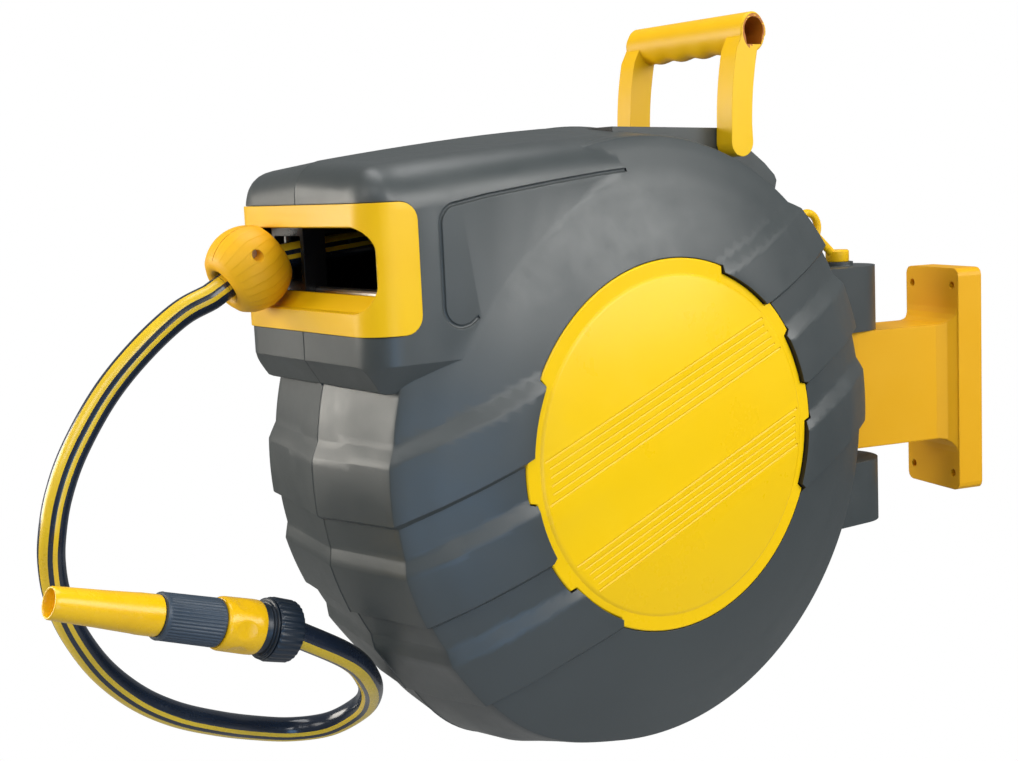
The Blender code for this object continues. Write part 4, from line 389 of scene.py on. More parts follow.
def combine(target, operation, tool):
    """Boolean one mesh into another and drop the second."""
    modifier = target.modifiers.new(operation.title(), "BOOLEAN")
    modifier.operation = operation
    modifier.solver = "EXACT"
    modifier.object = tool
    bpy.context.view_layer.update()
    graph = bpy.context.evaluated_depsgraph_get()
    mesh = bpy.data.meshes.new_from_object(target.evaluated_get(graph))
    target.modifiers.clear()
    target.data = mesh
    bpy.data.objects.remove(tool, do_unlink=True)
    return target


def cut(target, *tools):
    for tool in tools:
        combine(target, "DIFFERENCE", tool)
    return target


def fuse(target, *tools):
    for tool in tools:
        combine(target, "UNION", tool)
    return target


def keep_inside(target, tool):
    return combine(target, "INTERSECT", tool)


def smooth(item, angle):
    item.data.shade_smooth()
    item.data.set_sharp_from_angle(angle=math.radians(angle))
    return item


ALONG_X = Matrix(((0, 0, 1), (1, 0, 0), (0, 1, 0))).to_4x4()
ALONG_Z = Matrix.Identity(4)
AT_PIVOT = Matrix.Translation((0.0, PIVOT_Y, 0.0))


def round_ring(sides, z, radius_at):
    """Points round local z, each at the radius that belongs to its angle."""
    points = []
    for i in range(sides):
        angle = 2 * math.pi * i / sides
        radius = radius_at(angle)
        points.append((radius * math.cos(angle), radius * math.sin(angle), z))
    return points


def revolved(name, profile, sides, matrix=ALONG_X, closed=False):
    """Profile of (radius, height) turned about local z, with poles where the radius is nought."""
    bm = bmesh.new()
    rows = []
    for radius, height in profile:
        if radius < 1e-7:
            rows.append([bm.verts.new((0.0, 0.0, height))])
        else:
            rows.append([bm.verts.new(point) for point in round_ring(sides, height, lambda angle: radius)])
    pairs = list(zip(rows, rows[1:]))
    if closed:
        pairs.append((rows[-1], rows[0]))
    for row, following in pairs:
        for i in range(sides):
            j = (i + 1) % sides
            if len(row) == 1:
                bm.faces.new((row[0], following[i], following[j]))
            elif len(following) == 1:
                bm.faces.new((row[i], row[j], following[0]))
            else:
                bm.faces.new((row[i], row[j], following[j], following[i]))
    bmesh.ops.transform(bm, matrix=matrix, verts=bm.verts)
    return object_from_bmesh(name, bm)


def rod(name, radius, start, end, sides, matrix):
    """Plain round bar from one height to another along local z."""
    return revolved(name, [(0.0, start), (radius, start), (radius, end), (0.0, end)], sides, matrix)


def lofted(name, rings, looped=False):
    """Skin over rings of points, with flat ends or looped onto itself."""
    bm = bmesh.new()
    rows = [[bm.verts.new(point) for point in ring] for ring in rings]
    for row, following in zip(rows, rows[1:] + rows[: int(looped)]):
        for i in range(len(row)):
            j = (i + 1) % len(row)
            bm.faces.new((row[i], row[j], following[j], following[i]))
    if not looped:
        bm.faces.new(rows[0])
        bm.faces.new(rows[-1])
    return object_from_bmesh(name, bm)


def extruded(name, outline, plane, start, end):
    """Flat outline on YZ, XZ or XY, given depth."""
    order = {"YZ": (2, 0, 1), "XZ": (0, 2, 1), "XY": (0, 1, 2)}[plane]
    rings = []
    for depth in (start, end):
        rings.append([tuple((a, b, depth)[i] for i in order) for a, b in outline])
    return lofted(name, rings)


def arc(centre, radius, start, end, steps):
    points = []
    for i in range(steps + 1):
        angle = start + (end - start) * i / steps
        points.append((centre[0] + radius * math.cos(angle), centre[1] + radius * math.sin(angle)))
    return points


def rounded_rectangle(low, high, radius, steps=6):
    (a0, b0), (a1, b1) = low, high
    quarter = math.pi / 2
    corners = [(a1 - radius, b1 - radius), (a0 + radius, b1 - radius)]
    corners += [(a0 + radius, b0 + radius), (a1 - radius, b0 + radius)]
    points = []
    for i, centre in enumerate(corners):
        points += arc(centre, radius, i * quarter, i * quarter + quarter, steps)
    return points


def along(direction, point):
    z = Vector(direction).normalized()
    side = Vector((1.0, 0.0, 0.0)) if abs(z.x) < 0.9 else Vector((0.0, 1.0, 0.0))
    y = z.cross(side).normalized()
    x = y.cross(z)
    result = Matrix((x, y, z)).transposed().to_4x4()
    result.translation = Vector(point)
    return result


def smooth_route(points, spacing):
    """Catmull-Rom curve through the points, read at a nearly even spacing."""
    fine = []
    path = [Vector(p) for p in points]
    path = [path[0] * 2 - path[1]] + path + [path[-1] * 2 - path[-2]]
    for a, b, c, d in zip(path, path[1:], path[2:], path[3:]):
        for i in range(12):
            t = i / 12
            square = (2 * a - 5 * b + 4 * c - d) * t**2
            cube = (3 * b - a - 3 * c + d) * t**3
            fine.append(0.5 * (2 * b + (c - a) * t + square + cube))
    fine.append(path[-2])
    total = sum((q - p).length for p, q in zip(fine, fine[1:]))
    count = max(2, round(total / spacing))
    result = [fine[0]]
    walked = 0.0
    for p, q in zip(fine, fine[1:]):
        step = (q - p).length
        while len(result) < count and walked + step >= total * len(result) / count:
            result.append(p.lerp(q, (total * len(result) / count - walked) / step))
        walked += step
    result.append(fine[-1])
    return result


def tube(name, path, radius, side, angles):
    """Tube along a path, without twist, with an edge at each of the angles."""
    rings = []
    for i, point in enumerate(path):
        ahead = path[min(i + 1, len(path) - 1)] - path[max(i - 1, 0)]
        tangent = ahead.normalized()
        side = (side - tangent * side.dot(tangent)).normalized()
        other = side.cross(tangent)
        rings.append([point + (side * math.cos(a) + other * math.sin(a)) * radius for a in angles])
    return lofted(name, rings)


def bar_along(route, radius, sides=8):
    """Round bar that follows a route, to cut a groove or to add a rib."""
    angles = [2 * math.pi * i / sides for i in range(sides)]
    return tube("groove", route, radius, Vector((1.0, 0.0, 0.0)), angles)


def dress(item, body, nodes, slot, *materials):
    """Give a piece its materials and body, and hide the solids that it replaces; the slot is not used."""
    for material in materials:
        item.data.materials.append(material)
    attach(item, body)
    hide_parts(*nodes)


def place(item, body, nodes, slot, *materials):
    """Move a piece built in the case's axes into the row frame and dress it."""
    item.data.transform(TO_ROW)
    dress(item, body, nodes, slot, *materials)


# Hose
def striped_hose(name, path):
    """Tube with a wide and a thin stripe on its outer side, each its own material."""
    marks = {i * 360 / HOSE_ANGLES for i in range(HOSE_ANGLES)}
    marks = sorted(marks | {*WIDE_STRIPE, *THIN_STRIPE})
    hose = tube(name, path, HOSE_OD / 2, HOSE_SIDE, [math.radians(mark) for mark in marks])
    middles = [(mark + following) / 2 for mark, following in zip(marks, marks[1:] + [360])]
    striped = [any(low < a < high for low, high in (WIDE_STRIPE, THIN_STRIPE)) for a in middles]
    for face in hose.data.polygons[:-2]:
        face.material_index = int(striped[face.index % len(marks)])
    return smooth(hose, 60)


def free_hose_path(spacing):
    """Straight out of the ball, along the route and straight into the nut."""
    start = BALL_CENTRE + BALL_AXIS * (BALL_HALF_LENGTH + GAP)
    into_nut = NUT_CENTRE - NOZZLE_AXIS * (NUT_BACK + 0.001)
    bend = [start + BALL_AXIS * 0.010, *[Vector(p) for p in ROUTE], into_nut]
    return [start, *smooth_route(bend, spacing), NUT_CENTRE + NOZZLE_AXIS * GAP]


def add_free_hose(m):
    path = free_hose_path(0.003)
    hose = striped_hose("free_hose", path)
    place(hose, "carriage", ["hose_free"], "hose_rubber", m["navy"], m["stripe"])


def lead_path(spacing):
    """From the top of the wound hose through the guide's eye to the ball."""
    pack_radius = CORE_RADIUS + GAP + HOSE_OD + (LAYERS - 1) * HOSE_OD * math.sqrt(3) / 2
    eye = Vector((BALL_CENTRE.x, FRONT_Y + ROD_BACK, MOUTH_HEIGHT + EYE_RISE))
    reach = math.hypot(eye.y, eye.z)
    radius = pack_radius + GAP + HOSE_OD / 2
    angle = math.atan2(eye.z, eye.y) - math.acos(radius / reach)
    tangent = Vector((BALL_CENTRE.x, radius * math.cos(angle), radius * math.sin(angle)))
    exit_point = BALL_CENTRE + BALL_AXIS * BALL_HALF_LENGTH
    before = exit_point - BALL_AXIS * 0.012
    middle_z = before.z + (eye.z - before.z) * 0.60
    middle = Vector((BALL_CENTRE.x, BALL_CENTRE.y + 0.008, middle_z))
    points = [tangent, tangent.lerp(eye, 0.5), eye, middle, before]
    return [*smooth_route(points, spacing), exit_point]


def add_hose_lead(m):
    hose = striped_hose("guided_hose", lead_path(0.004))
    place(hose, "carriage", ["hose_lead"], "hose_rubber", m["navy"], m["stripe"])


# Nozzle set
def nozzle_piece(item, body, node, slot, material):
    item.data.transform(along(NOZZLE_AXIS, NUT_CENTRE))
    place(item, body, [node], slot, material)
    return item


def add_nut(m):
    """Coupling nut with ribs that fade at both ends."""
    back = -NUT_BACK
    stations = [(back, 0.0150, 0.0), (back, 0.0172, 0.0002), (back + 0.0008, 0.0184, 0.0005)]
    stations += [(back + 0.0022, 0.0191, 0.0008), (-0.0022, 0.0197, 0.0008), (-0.0007, 0.0193, 0.0006)]
    stations += [(0.0001, 0.0186, 0.0), (0.0003, 0.0178, 0.0), (0.0003, 0.0150, 0.0)]

    def sunk(angle):
        return 1 - (0.5 + 0.5 * math.cos(NUT_RIBS * angle)) ** 0.7

    rings = [round_ring(8 * NUT_RIBS, z, lambda a: radius - depth * sunk(a)) for z, radius, depth in stations]
    nut = smooth(lofted("coupling_nut", rings), 40)
    return nozzle_piece(nut, "carriage", "hose_nut", "black_plastic", m["nut"])


def add_connector(m):
    """Connector body: stepped shoulder, and a socket for the grip's stem."""
    step = STEM_START - 0.002
    socket = STEM_RADIUS + 0.0035
    profile = [(0.005, 0.0009), (0.0180, 0.0009), (0.0186, 0.0012), (0.0186, 0.0018), (0.0181, 0.0021)]
    profile += [(0.0167, 0.0022), (0.0168, 0.0025), (0.0168, 0.0030), (0.0163, 0.0033), (0.0152, 0.0034)]
    profile += [(0.0150, 0.0038), (0.0150, BODY_END), (socket, BODY_END), (socket, step), (0.005, step)]
    body = smooth(revolved("connector_thread", profile, 72, ALONG_Z, True), 30)
    return nozzle_piece(body, "carriage", "connector_body", "black_plastic", m["nut"])


def dimple_depth(angle, z, radius):
    """Depth of the collar's finger dimples at one point."""
    depth = 0.0
    for i in range(DIMPLES):
        across = ((angle - 2 * math.pi * i / DIMPLES + math.pi) % (2 * math.pi) - math.pi) * radius
        reach = math.hypot(across / 0.0060, (z - DIMPLE_CENTRE) / 0.0068)
        depth = max(depth, DIMPLE_DEPTH * (1 - reach**2))
    return depth


def add_collar(m):
    """Yellow release collar with finger dimples."""
    start, end = COLLAR_START, GRIP_START - GAP
    stations = [(start, 0.0153), (start, 0.0158), (start + 0.0004, 0.0163), (start + 0.0012, 0.0166)]
    stations += [(start + 0.0050, 0.0167)]
    stations += [(start + 0.0050 + 0.0008 * i, 0.0167 - 0.00002 * i) for i in range(1, 22)]
    stations += [(end - 0.0024, 0.0162), (end - 0.0010, 0.0159), (end - 0.0003, 0.0154)]
    stations += [(end, 0.0148), (end, 0.0136)]
    rings = [round_ring(96, z, lambda angle: r - dimple_depth(angle, z, r)) for z, r in stations]
    collar = smooth(lofted("collar_shell", rings), 40)
    return nozzle_piece(collar, "collar", "release_collar", "yellow_plastic", m["barrel"])


def add_grip(m):
    """Fluted grip with a plain rolled edge at each end, and the stem through it."""
    stem, start, end, tip = STEM_START, GRIP_START, GRIP_END, NOZZLE_LENGTH
    plain, shallow, deep = 0.0, FLUTE_DEPTH * 0.2, FLUTE_DEPTH
    stations = [(stem, 0.0042, plain), (stem, 0.0076, plain), (stem + 0.0006, STEM_RADIUS, plain)]
    stations += [(start, STEM_RADIUS, plain), (start, 0.0138, plain), (start + 0.0005, 0.0144, plain)]
    stations += [(start + 0.0015, 0.0147, shallow), (start + 0.0030, 0.0147, deep)]
    stations += [(end - 0.0040, 0.0141, deep), (end - 0.0026, 0.0141, shallow)]
    stations += [(end - 0.0013, 0.0142, plain), (end - 0.0003, 0.0139, plain), (end, 0.0133, plain)]
    stations += [(end, 0.0060, plain), (tip - 0.0260, 0.0060, plain), (tip - 0.0205, 0.0058, plain)]
    stations += [(tip - 0.0200, 0.0045, plain)]

    def sunk(angle):
        return (0.5 - 0.5 * math.cos(FLUTES * angle)) ** 1.5

    rings = [round_ring(6 * FLUTES, z, lambda a: radius - depth * sunk(a)) for z, radius, depth in stations]
    grip = smooth(lofted("grip_shell", rings), 45)
    return nozzle_piece(grip, "carriage", "nozzle_grip", "nozzle_plastic", m["grip"])


def add_barrel(m):
    """Tapered spray barrel, hollow from its front."""
    start, end = GRIP_END + GAP, NOZZLE_LENGTH
    profile = [(0.0066, start), (0.0116, start), (0.0122, start + 0.0004), (0.0123, start + 0.0016)]
    profile += [(0.0121, start + 0.012), (0.0118, start + 0.015), (0.0107, end - 0.030)]
    profile += [(0.0097, end - 0.006), (0.0095, end - 0.003), (0.0094, end - 0.0008), (0.0090, end)]
    profile += [(0.0081, end), (0.0077, end - 0.0010), (0.0068, end - 0.0100), (0.0050, end - 0.0130)]
    profile += [(0.0042, end - 0.0145), (0.0042, end - 0.0180), (0.0066, end - 0.0180)]
    barrel = smooth(revolved("spray_barrel", profile, 96, ALONG_Z, True), 40)
    return nozzle_piece(barrel, "barrel", "nozzle_barrel", "yellow_plastic", m["barrel"])


# Stop ball
def add_ball(m):
    """Barrel-shaped ball with a rolled lip where the hose comes out, and a sunk screw."""
    half = BALL_HALF_LENGTH
    throat = HOSE_OD / 2 + 0.0016
    profile = [(0.0, half - 0.0060), (throat, half - 0.0060), (throat + 0.0003, half - 0.0030)]
    profile += [(throat + 0.0012, half - 0.0012), (throat + 0.0028, half - 0.0003), (throat + 0.0045, half)]
    profile += [(0.0165, half - 0.0003), (0.0183, half - 0.0014)]
    lean = math.asin(half / BALL_RADIUS) * 0.86
    for i in range(25):
        angle = lean * (1 - i / 12)
        profile.append((BALL_RADIUS * math.cos(angle), BALL_RADIUS * math.sin(angle)))
    profile += [(0.0183, 0.0014 - half), (0.0140, -half), (0.0, -half)]
    ball = revolved("stop_ball", profile, 96, ALONG_Z)
    turn = Matrix.Rotation(BALL_SCREW_TURN, 4, "Z")
    sideways = Matrix.Rotation(math.pi / 2, 4, "Y")
    for flip in (0.0, math.pi):
        hole = Matrix.Rotation(flip, 4, "Z") @ turn @ Matrix.Translation((0.0, BALL_SCREW_OFFSET, 0.0))
        cut(ball, rod("screw_recess", 0.0034, 0.0155, 0.05, 32, hole @ sideways))
    seam_depth, seam_out, seam_half = BALL_RADIUS - 0.0005, BALL_RADIUS + 0.002, 0.00025
    seam = [(seam_depth, -seam_half), (seam_out, -seam_half), (seam_out, seam_half), (seam_depth, seam_half)]
    cut(ball, revolved("seam", seam, 96, turn @ sideways, True))
    cut(ball, rod("bore", HOSE_OD / 2 + 0.0006, -0.05, 0.05, 48, ALONG_Z))
    smooth(ball, 35)
    # The mesh stays about the ball's own centre, from which its mould lines are drawn
    to_own_centre = Matrix.Translation(BALL_CENTRE + DRUM).inverted() @ TO_ROW
    ball.data.transform(to_own_centre @ along(BALL_AXIS, BALL_CENTRE))
    ball.location = BALL_CENTRE + DRUM
    dress(ball, "carriage", ["ball_near", "ball_far"], "yellow_plastic", m["ball"])


# Case
def tread_radius(x):
    return CASE_RADIUS - SHOULDER_DROP * abs(x) / SHOULDER_X


def band_height(y, z):
    return -y * math.sin(BAND_TILT) + z * math.cos(BAND_TILT)


def band_lift(height):
    for low, high in BAND_SPANS:
        if low <= height <= high:
            return 1.0
        if low - BAND_STEP < height < low:
            return (height - low + BAND_STEP) / BAND_STEP
        if high < height < high + BAND_LEDGE:
            return (high + BAND_LEDGE - height) / BAND_LEDGE
    return 0.0


def foot_bulge(y, z):
    turn = (math.atan2(z, y) - FOOT_ANGLE + math.pi) % (2 * math.pi) - math.pi
    if abs(turn) >= FOOT_HALF_SPREAD:
        return 0.0
    return FOOT_BULGE * math.cos(turn / FOOT_HALF_SPREAD * math.pi / 2) ** 2


def half_profile():
    """Side of the round case from its middle over the shoulder to the tread, as (r, x)."""
    crease, shoulder = CREASE_RADIUS, SHOULDER_RADIUS
    points = [(0.0, SIDE_X), (0.105, SIDE_X), (0.1105, SIDE_X), (DISC_RADIUS, SIDE_X)]
    for i in range(1, 7):
        t = i / 7
        belly = 0.0012 * math.sin(math.pi * t)
        points.append((DISC_RADIUS + (crease - DISC_RADIUS) * t, SIDE_X + (CREASE_X - SIDE_X) * t + belly))
    points += [(crease - 0.002, CREASE_X + 0.0006), (crease + 0.0015, CREASE_X - 0.0004)]
    points += [(crease + 0.010, CREASE_X - 0.0038), (crease + 0.019, CREASE_X - 0.0074)]
    points += [(shoulder - 0.0022, SHOULDER_X + 0.0009), (shoulder - 0.0004, SHOULDER_X - 0.0002)]
    points += [(shoulder + 0.0004, SHOULDER_X - 0.0026)]
    for x in (0.0680, 0.0600, 0.0500, 0.0400, 0.0300, 0.0200, 0.0100, 0.0012, 0.0008):
        points.append((tread_radius(x), x))
    return points


def outward(x):
    """Direction in which a band lifts the shell, eased from one face to the next."""
    side = math.copysign(1.0, x)
    size = abs(x)
    tread_edge, ease = SHOULDER_X - 0.009, 0.006
    if size < tread_edge:
        return 0.0, 1.0
    if size < SHOULDER_X:
        share = (size - tread_edge) / (SHOULDER_X - tread_edge)
        return side * 0.55 * share, 1.0
    if size < CREASE_X:
        share = (size - SHOULDER_X) / (CREASE_X - SHOULDER_X)
        return side * (0.55 + 0.50 * share), 1.0 - 0.45 * share
    share = min(1.0, (size - CREASE_X) / ease)
    return side * (1.05 - 0.05 * share), 0.55 * (1 - share)


def round_shell(name):
    half = half_profile()
    ridge = [(CASE_RADIUS + RIDGE, 0.0003), (CASE_RADIUS + RIDGE, -0.0003)]
    profile = half + ridge + [(r, -x) for r, x in reversed(half)]
    shell = revolved(name, profile, 240)
    bm = bmesh.new()
    bm.from_mesh(shell.data)
    for low, high in BAND_SPANS:
        for height in (low - BAND_STEP, low, high, high + BAND_LEDGE):
            geometry = bm.verts[:] + bm.edges[:] + bm.faces[:]
            plane = {"plane_co": ACROSS_BANDS * height, "plane_no": ACROSS_BANDS}
            bmesh.ops.bisect_plane(bm, geom=geometry, dist=1e-6, **plane)
    reach = DISC_RADIUS - 2.2 * DISC_NOTCH
    for vertex in bm.verts:
        x, y, z = vertex.co
        radius = math.hypot(y, z)
        if radius < reach:
            continue
        lift = BAND_LIFT * band_lift(band_height(y, z))
        along_x, out = outward(x)
        bulge = foot_bulge(y, z)
        size = abs(x)
        if size > CREASE_X:
            bulge = 0.0
        elif size > SHOULDER_X:
            bulge *= 0.35 * (CREASE_X - size) / (CREASE_X - SHOULDER_X)
        elif size > 0.55 * SHOULDER_X:
            bulge *= 0.95 - 0.60 * (size / SHOULDER_X - 0.55) / 0.45
        grow = 1 + (lift * out + bulge) / radius
        vertex.co = (x + lift * along_x, y * grow, z * grow)
    bm.to_mesh(shell.data)
    bm.free()
    return shell


def housing_top(x, y):
    share = max(0.0, -y / -FRONT_Y)
    tent = SHOULDER_DROP * abs(x) / SHOULDER_X * (1 - 0.5 * share)
    return CASE_RADIUS - TOP_TUCK - TOP_FALL * share**1.5 - tent


def rounded_inset(radius, distance):
    if distance >= radius:
        return 0.0
    return radius - math.sqrt(radius**2 - (radius - distance) ** 2)


def housing_half(y):
    """Half width of the outlet housing, swelling a little where it runs into the round case."""
    taper_start, swell_start, swell_length = -0.10, FRONT_Y + 0.025, 0.045
    rear = max(0.0, 1.0 - y / taper_start)
    share = min(1.0, max(0.0, (y - swell_start) / swell_length))
    return HOUSING_HALF + SIDE_SWELL * share**2 * (3 - 2 * share) - REAR_TAPER * rear**2


def housing(name, grow=0.0, ridge=0.0):
    front = FRONT_Y - grow
    stations = [0.0, 0.0004, 0.0012, 0.0025, 0.0045, 0.007, 0.010, 0.0135, 0.0175, CORNER_RADIUS]
    stations += [0.030, 0.045, 0.062, 0.080, 0.100, 0.120, 0.140, 0.160, 0.185, -front]
    rings = []
    for distance in stations:
        y = min(front + distance, 0.0)
        half = housing_half(y) + grow
        half -= rounded_inset(CORNER_RADIUS, distance)
        drop = rounded_inset(FRONT_EDGE_RADIUS, distance)
        edge = SIDE_EDGE_RADIUS + grow
        edge -= (SIDE_EDGE_RADIUS - CORNER_EDGE_RADIUS) * max(0.0, 1 - distance / CORNER_RADIUS)
        chamfer = max(min(1.0, distance / CHAMFER_IN), 0.02)
        lip = LIP_Z - grow
        bottom = lip - chamfer * CHAMFER_DROP
        low_half = half - chamfer * CHAMFER_IN
        right = [(0.0, bottom - ridge), (0.0012, bottom), (low_half, bottom), (half, lip)]
        for i in range(10):
            angle = math.pi / 2 * i / 9
            x = half - edge * (1 - math.cos(angle))
            z = housing_top(x, y) + grow - drop - edge * (1 - math.sin(angle))
            right.append((x, z))
        right.append((0.0012, housing_top(0.0, y) + grow - drop))
        right.append((0.0, housing_top(0.0, y) + grow - drop + ridge))
        left = [(-x, z) for x, z in reversed(right[1:-1])]
        rings.append([(x, y, z) for x, z in right + left])
    return lofted(name, rings)


def handle_block():
    """Raised block under the handle, as offsets from the handle's pins."""
    top = ((-0.101, 0.0130), (-0.004, 0.0102), (0.002, 0.0096), (0.007, 0.0072), (0.023, -0.006))
    back = ((0.036, -0.015), (0.0455, -0.0235), (0.0475, -0.0275), (0.046, -0.033), (0.034, -0.045))
    outline = [(HANDLE_Y + y, HANDLE_Z + z) for y, z in (*top, *back, (-0.101, -0.012))]
    half = HANDLE_INNER_HALF - 0.001
    return extruded("block", outline, "YZ", -half, half)


def ears():
    pieces = []
    root = 0.157
    for low, high in EARS:
        tip = arc((0.0, PIVOT_Y), EAR_RADIUS, 0.0, math.pi, 24)
        outline = [(EAR_RADIUS, root), *tip, (-EAR_RADIUS, root)]
        pieces.append(extruded("ear", outline, "XY", low, high))
    top = EARS[1][1]
    pieces.append(rod("boss", 0.012, top - 0.002, top + 0.003, 32, AT_PIVOT))
    return pieces


def cavity():
    """Space inside the round case and the outlet housing."""
    half = [(0.0, 0.0897), (0.1442, 0.0897), (0.1692, 0.083), (0.195, 0.0742)]
    profile = half + [(CASE_RADIUS - WALL, 0.0)] + [(r, -x) for r, x in reversed(half)]
    space = revolved("cavity", profile, 96)
    return fuse(space, housing("inner", -HOUSING_WALL))


def bezel_region(name, grow):
    low = (FRONT_Y - 0.05, MOUTH_HEIGHT - BEZEL_HALF_HEIGHT - grow)
    high = (FRONT_Y + BEZEL_WRAP + grow, MOUTH_HEIGHT + BEZEL_HALF_HEIGHT + grow)
    outline = rounded_rectangle(low, high, BEZEL_CORNER + grow)
    return extruded(name, outline, "YZ", -2 * HOUSING_HALF, 2 * HOUSING_HALF)


def mouth_outline(grow):
    low = (-MOUTH_HALF_WIDTH - grow, MOUTH_HEIGHT - MOUTH_HALF_HEIGHT - grow)
    high = (MOUTH_HALF_WIDTH + grow, MOUTH_HEIGHT + MOUTH_HALF_HEIGHT + grow)
    return rounded_rectangle(low, high, MOUTH_CORNER + grow, 10)


def band_marks(grow):
    return [(low + grow, high + BAND_LEDGE * 0.6 - grow) for low, high in BAND_SPANS]


def disc_outline(grow):
    """Edge of a disc cover: round, and stepped inward where the raised bands meet it."""
    marks = []
    for ends in band_marks(grow):
        for height in ends:
            lean = math.asin(height / DISC_RADIUS)
            for angle in (lean, math.pi - lean):
                marks.append((BAND_TILT + angle) % (2 * math.pi))
    plain = [2 * math.pi * i / 180 for i in range(180)]
    plain = [a for a in plain if min(abs(a - mark) for mark in marks) > 0.022]

    def stepped(angle):
        height = DISC_RADIUS * math.sin(angle - BAND_TILT)
        return any(low < height < high for low, high in band_marks(grow))

    points = []

    def add_point(angle, notched):
        radius = DISC_RADIUS - DISC_NOTCH * notched + grow
        points.append((radius * math.cos(angle), radius * math.sin(angle)))

    for angle in sorted(plain + marks):
        if angle in marks:
            before = stepped(angle - 0.012)
            add_point(angle - 0.008, before)
            add_point(angle + 0.008, not before)
        else:
            add_point(angle, stepped(angle))
    return points


def panel_groove(side):
    """Cutter for the fine groove round the flat panel on the housing's side."""
    front = FRONT_Y + PANEL_BACK
    low = LIP_Z + PANEL_ABOVE_LIP
    corner = PANEL_CORNER
    turn = math.pi / 2
    points = [(-0.140, low + 0.005), (-0.146, low + 0.001)]
    points += arc((front + corner, low + corner), corner, -turn, -2 * turn, 10)
    points += [(front, 0.120), (front, 0.146)]
    points += arc((front + corner, 0.150), corner, math.pi, math.pi * 0.62, 6)
    points += [(-0.130, 0.1655), (-0.105, 0.1685), (-0.080, 0.1715), (-0.060, 0.1735), (-0.045, 0.1750)]
    points += [(-0.032, 0.1760), (-0.021, 0.1767)]
    route = []
    for y, z in points:
        x = housing_half(y)
        edge_start = housing_top(x, y) - SIDE_EDGE_RADIUS
        if z > edge_start:
            x -= rounded_inset(SIDE_EDGE_RADIUS, SIDE_EDGE_RADIUS - (z - edge_start))
        bevel = SHOULDER_X + (CREASE_X - SHOULDER_X) * (SHOULDER_RADIUS - math.hypot(y, z)) / BEVEL_DROP
        route.append(Vector((side * max(x, bevel), y, z)))
    return bar_along(route, PANEL_GROOVE)


def parting_rib():
    """Fine line that the mould's parting left down the front of the outlet housing."""
    low, edge = LIP_Z - CHAMFER_DROP, FRONT_EDGE_RADIUS
    top = housing_top(0.0, FRONT_Y)
    points = [(FRONT_Y + CHAMFER_IN + 0.004, low), (FRONT_Y + CHAMFER_IN, low), (FRONT_Y, LIP_Z)]
    points += [(FRONT_Y, LIP_Z + 0.02), (FRONT_Y, top - edge - 0.01)]
    points += arc((FRONT_Y + edge, top - edge), edge, math.pi, math.pi / 2, 6)
    return bar_along([Vector((0.0, y, z)) for y, z in points], RIDGE)


def x_hole(start, end, radius, y=0.0, z=0.0):
    return rod("hole", radius, start, end, 32, Matrix.Translation((0.0, y, z)) @ ALONG_X)


def add_case(m):
    """Both halves of the case as one hollow shell."""
    shell = round_shell("case_shell")
    fuse(shell, housing("housing", 0.0, RIDGE), parting_rib(), handle_block(), *ears())
    cut(shell, cavity())
    recess = bezel_region("recess", GAP)
    keep_inside(recess, housing("outer", 0.02))
    cut(recess, housing("inner", -BEZEL_SHELL - GAP))
    cut(shell, recess)
    tunnel = mouth_outline(BEZEL_SHELL + GAP)
    tunnel_end = FRONT_Y - BEZEL_PROUD + MOUTH_DEPTH + GAP
    cut(shell, extruded("tunnel", tunnel, "XZ", FRONT_Y - 0.01, tunnel_end))
    pocket_x = SIDE_X + DISC_PROUD - DISC_THICKNESS - GAP
    for side in (1, -1):
        ends = sorted((side * pocket_x, side * 0.2))
        cut(shell, extruded("pocket", disc_outline(DISC_EDGE_GAP), "YZ", *ends))
        cut(shell, panel_groove(side))
    cut(shell, x_hole(-0.2, -0.05, AXLE_RADIUS + GAP))
    cut(shell, rod("pivot_hole", PIN_RADIUS + GAP, -0.2, 0.2, 32, AT_PIVOT))
    depth = HANDLE_INNER_HALF - 0.010
    for start, end in ((-0.1, -depth), (depth, 0.1)):
        cut(shell, x_hole(start, end, HANDLE_PIN_RADIUS + GAP, HANDLE_Y, HANDLE_Z))
    for angle in CASE_SCREW_ANGLES:
        y = CASE_SCREW_CIRCLE * math.cos(math.radians(angle))
        z = CASE_SCREW_CIRCLE * math.sin(math.radians(angle))
        cut(shell, x_hole(-0.2, -0.0585, 0.0048, y, z))
    smooth(shell, 24)
    place(shell, "case", ["case_left", "case_right"], "case_plastic", m["case"], m["inside"])
    # Inward faces near the front take the near-black copy of the case grey: painted shade inside the case
    heart = DRUM + Vector((0.0, -0.06, 0.1))
    for face in shell.data.polygons:
        faces_inward = face.normal.dot(face.center - heart) < -0.002
        if faces_inward and face.center.y < DRUM.y + 0.15:
            face.material_index = 1


